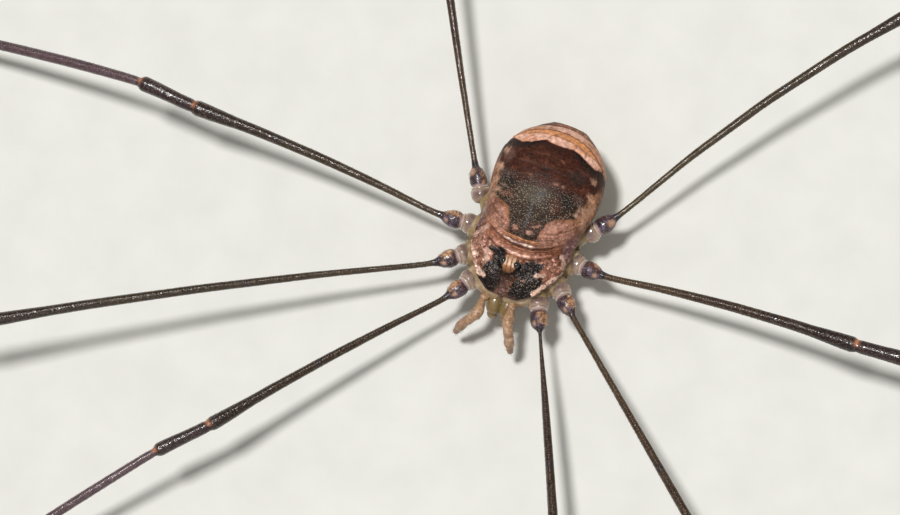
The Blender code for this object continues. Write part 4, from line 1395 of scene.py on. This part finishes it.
def make_coxae(hips, finish):
    """The eight coxae as one pillow: a ring's share of the outline is a root of the cosine of its
    latitude, and its height the sine, with a furrow between neighbours."""
    turn, outline, nick = coxae_outline(hips)
    lift = np.linspace(math.pi / 2, -math.pi / 2, PLATE_ROWS + 2)[1:-1]
    share = np.cos(lift) ** 0.55
    height = np.where(lift > 0, 1.46 + 0.42 * np.sin(lift), 1.46 + 0.58 * np.sin(lift))
    furrow = ridge(nick, 0.0, 0.045)[None] * smooth(0.35, 0.75, share)[:, None]
    plump = 0.05 * smooth(0.0, 0.16, nick)[None] * smooth(0.5, 0.85, share)[:, None]
    outwards = np.where(lift > 0, 1.0, -1.0)[:, None]
    z = height[:, None] + outwards * (plump - 0.09 * furrow) * np.cos(lift)[:, None]
    spread = share[:, None] * outline[None] * (1.0 - 0.03 * furrow)
    x = PLATE_AT[0] + spread * np.cos(turn)[None]
    y = PLATE_AT[1] + spread * np.sin(turn)[None]
    rings = np.stack([x, y, z], axis=-1)
    p = rings.reshape(-1, 3)
    fine, small, middling = cloud(p, 0.06, 61), cloud(p, 0.13, 65), cloud(p, 0.30, 62)
    normal = surface_normals(rings).reshape(-1, 3)
    p = p + normal * (0.012 * small + 0.004 * fine)[:, None]
    out_there = np.repeat(share, PLATE_COLUMNS)
    grooves = furrow.ravel()
    paint = layers(plain("#8c7550", p), (
        ("#ab9570", smooth(0.0, 0.9, middling) * 0.7),
        ("#bfa592", smooth(0.1, 0.8, small + 0.4 * middling) * 0.6),
        ("#85542f", smooth(0.2, 0.9, -small + 0.4 * middling) * 0.35),
        ("#bba090", smooth(-2.45, -2.70, p[:, 1]) * smooth(1.0, 0.90, out_there) * 0.6),
        ("#5a4630", grooves * 0.6),
    ))
    spot_place = np.hypot(p[:, 0] - 0.62, p[:, 1] + 2.86) / 0.09
    rusty = smooth(1.4, 0.5, spot_place + 0.3 * fine) * smooth(1.2, 1.4, p[:, 2])
    paint = mix(paint, "#8a4a17", rusty * 0.9)
    paint = np.clip(paint * (1 + 0.08 * fine)[:, None], 0, 1)
    skin = Shape()
    # painted glints: pale dots on some grains
    values = dressed(paint, metal=0.0, rough=0.30 + 0.06 * fine, speck=0.25)
    skin.add_round(p.reshape(PLATE_ROWS, PLATE_COLUMNS, 3), values, strips=2)
    skin.finish("coxae_skin", finish, "coxae", ("coxae",))


def make_bulbs(hips, finish):
    """A clear bulb at each hip: an egg about the leg's direction with a shallow groove and a rim, with a
    painted highlight ring and a painted bright outline.
    """
    bulbs = Shape()
    for k, (hip, out) in enumerate(hips):
        centre = hip + out * BULB_PAST
        lift = np.linspace(-math.pi / 2, math.pi / 2, BULB_ROWS + 2)[1:-1]
        path = centre + out[None] * (BULB_LONG * np.sin(lift))[:, None]
        collar = 1 - 0.10 * ridge(lift, 0.55, 0.09) + 0.05 * ridge(lift, 0.78, 0.12)
        radii = BULB_WIDE * np.cos(lift) ** 0.80 * collar
        rings, turn, *_ = ring_along(path, radii, BULB_COLUMNS)
        p = rings.reshape(-1, 3)
        fine, small = cloud(p, 0.06, 63), cloud(p, 0.16, 64)
        across = np.repeat(lift, BULB_COLUMNS)
        crown = smooth(0.35, 0.95, np.sin(turn).ravel())
        paint = layers(plain("#a6907f", p), (
            # a dark core painted on the top of the clear bulb
            ("#544046", crown * ridge(across, -0.10, 0.50) * (0.75 + 0.4 * small)),
            ("#94734f", smooth(0.0, 0.8, small) * 0.35),
            # a painted highlight ring near the far end, on the rim
            ("#cbbab4", ridge(across, 0.80, 0.10) * 0.45),
            ("#6d585a", ridge(across, 0.58, 0.08) * 0.3),
            # sides and underside painted paler as a bright outline: painted light
            ("#b39f96", smooth(0.45, 0.05, np.sin(turn).ravel()) * 0.5),
            ("#8d7452", smooth(-0.7, -1.2, across) * 0.8),
        ))
        p = p + unit(p - centre) * (0.010 * small)[:, None]
        values = dressed(np.clip(paint, 0, 1), metal=0.0, rough=0.22 + 0.04 * fine)
        square = (0.0, k / 8, 1.0, 0.95 / 8)
        bulbs.add_round(p.reshape(BULB_ROWS, BULB_COLUMNS, 3), values, square=square)
    bulbs.finish("coxa_bulbs", finish, "coxae")


# ---------------------------------------------------------------- mouthparts

# The middle lines of the feelers, from root to tip
PALP_ROUTES = {
    "palp_left": (
        (0.30, -2.62, 1.45), (0.44, -2.98, 1.53), (0.53, -3.46, 1.60), (0.72, -3.88, 1.38),
        (0.80, -4.10, 0.84),
    ),
    "palp_right": (
        (-0.32, -2.62, 1.45), (-0.46, -2.98, 1.53), (-0.46, -3.48, 1.60), (-0.78, -3.90, 1.38),
        (-0.98, -4.10, 0.84),
    ),
}
# A feeler's radius as (share of its length, mm)
PALP_RADII = (
    (0.0, 0.09), (0.10, 0.12), (0.17, 0.130), (0.22, 0.100), (0.26, 0.125), (0.38, 0.165), (0.475, 0.175),
    (0.505, 0.135), (0.53, 0.150), (0.60, 0.158), (0.625, 0.135), (0.65, 0.145), (0.74, 0.160),
    (0.795, 0.150), (0.82, 0.105), (0.85, 0.108), (0.92, 0.106), (0.97, 0.092), (1.0, 0.050),
)
# Where its joints are, as shares of its length
PALP_JOINTS = (0.22, 0.505, 0.625, 0.82)


def make_palp(name, route, finish, coat_finish, seed):
    """A feeler of five parts along its route, each swelling to its far joint, with bristles."""
    rows, columns = 170, 30
    path = soften(through(route, rows), 3.0)
    walked = walked_along(path)
    t = walked / walked[-1]
    radii = soften(read_off(t, PALP_RADII, 1), 1.6)
    rings, _, heading, side, up = ring_along(path, radii, columns)
    p = rings.reshape(-1, 3)
    s = np.repeat(t, columns)
    fine, middling = cloud(p, 0.06, seed), cloud(p, 0.18, seed + 3)
    away, number = pimples(p, 0.062, seed + 1)
    grain = np.clip(1 - away / 0.45, 0, 1)
    paint = layers(plain("#9d7a5c", p), (
        ("#6d4427", smooth(-0.1, 0.7, middling) * 0.75 * smooth(0.60, 0.45, s)),
        # grain tops on the first parts painted pale as glints
        ("#e2bd98", grain * number * 0.95 * smooth(0.62, 0.48, s)),
        ("#907058", smooth(0.50, 0.62, s + 0.05 * middling) * 0.9),
        ("#b99b82", smooth(0.62, 0.66, s) * smooth(0.82, 0.78, s) * smooth(-0.3, 0.6, middling) * 0.7),
        ("#856650", smooth(0.80, 0.86, s) * 0.7),
    ))
    for joint in PALP_JOINTS:
        paint = mix(paint, "#8f6a54", ridge(s, joint, 0.010) * 0.6)
    paint = np.clip(paint * (1 + 0.1 * fine)[:, None], 0.01, 1)
    outward = p - np.repeat(path, columns, axis=0)
    outward /= np.linalg.norm(outward, axis=1)[:, None] + 1e-9
    relief = 0.018 * grain * number * smooth(0.62, 0.48, s) + 0.012 * middling + 0.003 * fine
    p = p + outward * relief[:, None]
    # painted glints: pale grain dots on the first parts
    values = dressed(paint, metal=0.0, rough=0.36 + 0.05 * fine, speck=0.5 * smooth(0.65, 0.5, s))
    skin = Shape()
    first, last = path[0] - heading[0] * 0.01, path[-1] + heading[-1] * 0.02
    skin.add_tube(p.reshape(rows, columns, 3), first, last, values)
    skin.finish(f"{name}_skin", finish, "palp", (name,))
    generator = np.random.default_rng(seed)
    count = 260
    row = generator.uniform(0.12 * rows, 0.99 * rows - 1, count).astype(int)
    angle = generator.uniform(0, 2 * math.pi, count)
    outward = side[row] * np.cos(angle)[:, None] + up[row] * np.sin(angle)[:, None]
    roots = path[row] + outward * (radii[row] * 0.95)[:, None]
    heads = unit(outward + heading[row] * 0.9)
    tarsal = t[row] > 0.5
    lengths = np.where(tarsal, generator.uniform(0.05, 0.12, count), generator.uniform(0.03, 0.07, count))
    widths = np.where(tarsal, 0.0035, 0.006)
    tones = np.where(tarsal[:, None], linear("#7b6250")[None], linear("#9a7350")[None])
    values = dressed(tones, metal=0.0, rough=0.35)
    coat = Shape()
    places = np.clip(np.stack([t[row], angle / (2 * math.pi)], axis=1), 0.001, 0.996)
    coat.add_spikes(roots, heads, lengths, widths, values, places)
    coat.finish(f"{name}_bristles", coat_finish, "palp")
    return path[-1], heading[-1]


# A chelicera's two parts and two fingers: middle line as (sideways from its own middle, y, z), radii
CHELICERA_PIECES = (
    (
        ((-0.03, -2.50, 1.36), (0.0, -2.78, 1.34), (0.0, -3.05, 1.26), (0.0, -3.20, 1.16)),
        (0.14, 0.225, 0.235, 0.15),
    ),
    (
        ((0.0, -3.12, 1.22), (0.01, -3.20, 1.08), (0.0, -3.20, 0.92), (-0.02, -3.12, 0.80)),
        (0.10, 0.15, 0.13, 0.07),
    ),
    (
        ((-0.05, -3.17, 0.86), (-0.07, -3.19, 0.76), (-0.06, -3.15, 0.66), (-0.03, -3.10, 0.60)),
        (0.045, 0.04, 0.028, 0.008),
    ),
    (
        ((0.04, -3.15, 0.86), (0.05, -3.16, 0.76), (0.03, -3.13, 0.66), (-0.01, -3.09, 0.60)),
        (0.045, 0.04, 0.028, 0.008),
    ),
)
CHELICERA_ASIDE = 0.2


def make_chelicera(name, way, finish):
    """An egg-shaped first part that leans forward, then a second part bent down with two fingers."""
    skin = Shape()
    x = TRUNK_X + way * CHELICERA_ASIDE
    for k, (route, sizes) in enumerate(CHELICERA_PIECES):
        path = through([(x + way * aside, y, z) for aside, y, z in route], 40)
        t = np.linspace(0, 1, 40)
        radii = through(np.array(sizes)[:, None], 40)[:, 0]
        radii = radii * np.sqrt(1 - (1 - (t / 0.12).clip(0, 1)) ** 2 * 0.95)
        radii = radii * np.sqrt(1 - ((t - 0.9) / 0.1).clip(0, 1) ** 2 * 0.9)
        rings, _, heading, *_ = ring_along(path, radii, 28)
        p = rings.reshape(-1, 3)
        fine = cloud(p, 0.07, 71 + k)
        paint = layers(plain("#76623c" if k < 2 else "#4a2f1c", p), (
            ("#a08766", smooth(0.0, 0.9, cloud(p, 0.2, 77)) * 0.5),
            ("#80562c", smooth(0.0, 0.9, fine) * 0.35),
        ))
        values = dressed(np.clip(paint, 0, 1), metal=0.0, rough=0.3)
        first, last = path[0] - heading[0] * 0.004, path[-1] + heading[-1] * 0.004
        skin.add_tube(rings, first, last, values, square=(0.0, k / 4, 1.0, 0.24))
    skin.finish(f"{name}_skin", finish, "chelicera", (name,))


def make_claws(tips, finish):
    """A small hook at each tip: a cone whose middle line turns down, in rings."""
    skin = Shape()
    for k, (tip, heading) in enumerate(tips):
        t = np.linspace(0, 1, 14)
        path = tip[None] + heading[None] * (0.16 * t - 0.03)[:, None]
        path[:, 2] += 0.035 * np.sin(math.pi * t) - 0.012 * t
        radii = 0.016 * (1 - 0.85 * t)
        path[:, 2] = np.maximum(path[:, 2], radii + 0.001)
        rings, _, ahead, *_ = ring_along(path, radii, 8)
        skin.add_tube(rings, path[0], path[-1] + ahead[-1] * 0.003, {}, square=(0.0, k / 11, 1.0, 1 / 11.5))
    skin.finish("claws", finish, "tarsus")


# ---------------------------------------------------------------- putting it together


# The floor's rings in metres, and the suns: name, where they stand, strength, how wide in degrees
FLOOR_RADII = (0.4, 2.0, 9.0)
SUNS = (
    ("key_sun", (-0.15, -0.02, 0.99), 3.0, 9.0),
    ("fill_sun", (0.45, -0.70, 0.60), 0.35, 50.0),
)


def placed(right, up, back, place):
    """The matrix of something with these directions at this place."""
    return Matrix([(right[k], up[k], back[k], place[k]) for k in range(3)] + [(0, 0, 0, 1)])


def studio():
    """A wide pale floor, a soft sun from above and behind, a weak fill and a pale room."""
    rows, columns = len(FLOOR_RADII), 96
    turn = round_turn(columns)
    radii = np.array(FLOOR_RADII)[:, None]
    rings = np.stack([radii * np.cos(turn), radii * np.sin(turn), np.zeros((rows, columns))], axis=-1)
    points = np.vstack([[(0.0, 0.0, 0.0)], rings.reshape(-1, 3)])
    faces = [(0, 1 + k, 1 + (k + 1) % columns) for k in range(columns)]
    faces += [tuple(q) for q in (grid_faces(rows, columns)[:, ::-1] + 1).tolist()]
    mesh = bpy.data.meshes.new("floor")
    mesh.from_pydata(points.tolist(), [], faces)
    made, tree = new_material("matt_studio_floor")
    colour, _ = mottled_tone(tree, "#d2d1cb", 1.5, 4.0, 0.97, 1.03)
    shader = node(tree, "ShaderNodeBsdfPrincipled", Base_Color=colour, Roughness=0.85)
    node(tree, "ShaderNodeOutputMaterial", Surface=shader.outputs[0])
    mesh.materials.append(made)
    floor = bpy.data.objects.new("floor", mesh)
    bpy.context.scene.collection.objects.link(floor)
    for name, towards, strength, angle in SUNS:
        light = bpy.data.lights.new(name, "SUN")
        light.energy = strength
        light.angle = math.radians(angle)
        lamp = bpy.data.objects.new(name, light)
        towards = unit(np.array(towards))
        side = unit(np.cross((0.0, 1.0, 0.0), towards))
        up = np.cross(towards, side)
        lamp.matrix_world = placed(side, up, towards, towards)
        lamp.visible_camera = False
        bpy.context.scene.collection.objects.link(lamp)
    world = bpy.data.worlds.new("pale_room")
    world.use_nodes = True
    sky = world.node_tree.nodes["Background"]
    sky.inputs["Color"].default_value = (*linear("#e6e4df"), 1.0)
    sky.inputs["Strength"].default_value = 0.38
    bpy.context.scene.world = world


# The photograph's view: right, up and backward directions of the camera, its place in the body's mm
# and its lens
VIEW_RIGHT = (0.92020855, 0.37910963, -0.09742754)
VIEW_UP = (-0.34222249, 0.90002827, 0.26987567)
VIEW_BACK = (0.19, -0.215, 0.95795355)
VIEW_FROM = (41.7966, -51.5847, 221.7277)
VIEW_LENS = 308.2


def make_camera():
    """The camera from which the photograph was taken, worked out from the eight hips."""
    lens = bpy.data.cameras.new("photo_view")
    lens.lens = VIEW_LENS
    lens.sensor_width = 36.0
    lens.clip_start = 0.005
    lens.clip_end = 100.0
    camera = bpy.data.objects.new("photo_view", lens)
    place = (np.array(VIEW_FROM) + BODY) * MM
    camera.matrix_world = placed(VIEW_RIGHT, VIEW_UP, VIEW_BACK, place)
    bpy.context.scene.collection.objects.link(camera)
    bpy.context.scene.camera = camera


def main():
    """The substances, then the animal from the trunk to its tips, then the room and the camera."""
    bpy.context.scene.view_settings.view_transform = "Standard"
    # head shield, back and mound: matt and granular, with painted glints as pale dots on some grains
    shield = cuticle("granular_cuticle", 0.045, 9.0, ior=1.28, tint=0.50, specks="#ab9c86", speck_mm=0.045)
    # legs: dark and glazed, so that a thin bright line runs along them, grains on the barrels, and painted
    # glints as pale dots
    horn = cuticle(
        "leg_cuticle", 0.055, 10.0, ior=1.34, tint=0.32, coat=0.48, glaze=0.07, specks="#e0bf9a",
        speck_mm=0.055,
    )
    # coxae and chelicerae: pale, waxy and wet looking, light goes in a little
    soft = cuticle(
        "clear_coxa_cuticle", 0.08, 4.0, ior=1.42, tint=0.14, translucent=0.5, coat=0.4, glaze=0.12
    )
    # bulbs at the hips: like clear glass over flesh, with a sharp highlight
    glassy = cuticle(
        "glassy_joint_cuticle", 0.12, 3.0, ior=1.45, tint=0.10, translucent=0.7, coat=1.0, glaze=0.03,
    )
    # feelers: like the shield, with a little light going in
    bulbous = cuticle(
        "palp_cuticle", 0.045, 9.0, ior=1.45, tint=0.25, translucent=0.15, coat=0.15, specks="#d9c3a6",
    )
    # denticles and bristles: smooth horn, coloured one by one
    bristle = cuticle("bristle_horn", 0.05, 1.0, tint=0.1)
    # black glassy eyes, and dark claws
    eye = plain_gloss("eye_lens", "#0b0b10", 0.05, ior=1.5, coat=1.0)
    claw = plain_gloss("claw_horn", "#2a1c14", 0.3)
    make_trunk(shield)
    make_mound(shield, eye)
    hips, tips = [], []
    for leg in LEGS:
        hip, out, tip, heading = make_leg(leg, horn, bristle)
        hips.append((hip, out))
        tips.append((tip, heading))
    make_coxae(hips, soft)
    make_bulbs(hips, glassy)
    for k, (name, route) in enumerate(PALP_ROUTES.items()):
        make_palp(name, route, bulbous, bristle, 81 + 10 * k)
    for name, way in (("chelicera_left", 1), ("chelicera_right", -1)):
        make_chelicera(name, way, soft)
    make_claws(tips, claw)
    studio()
    make_camera()


main()
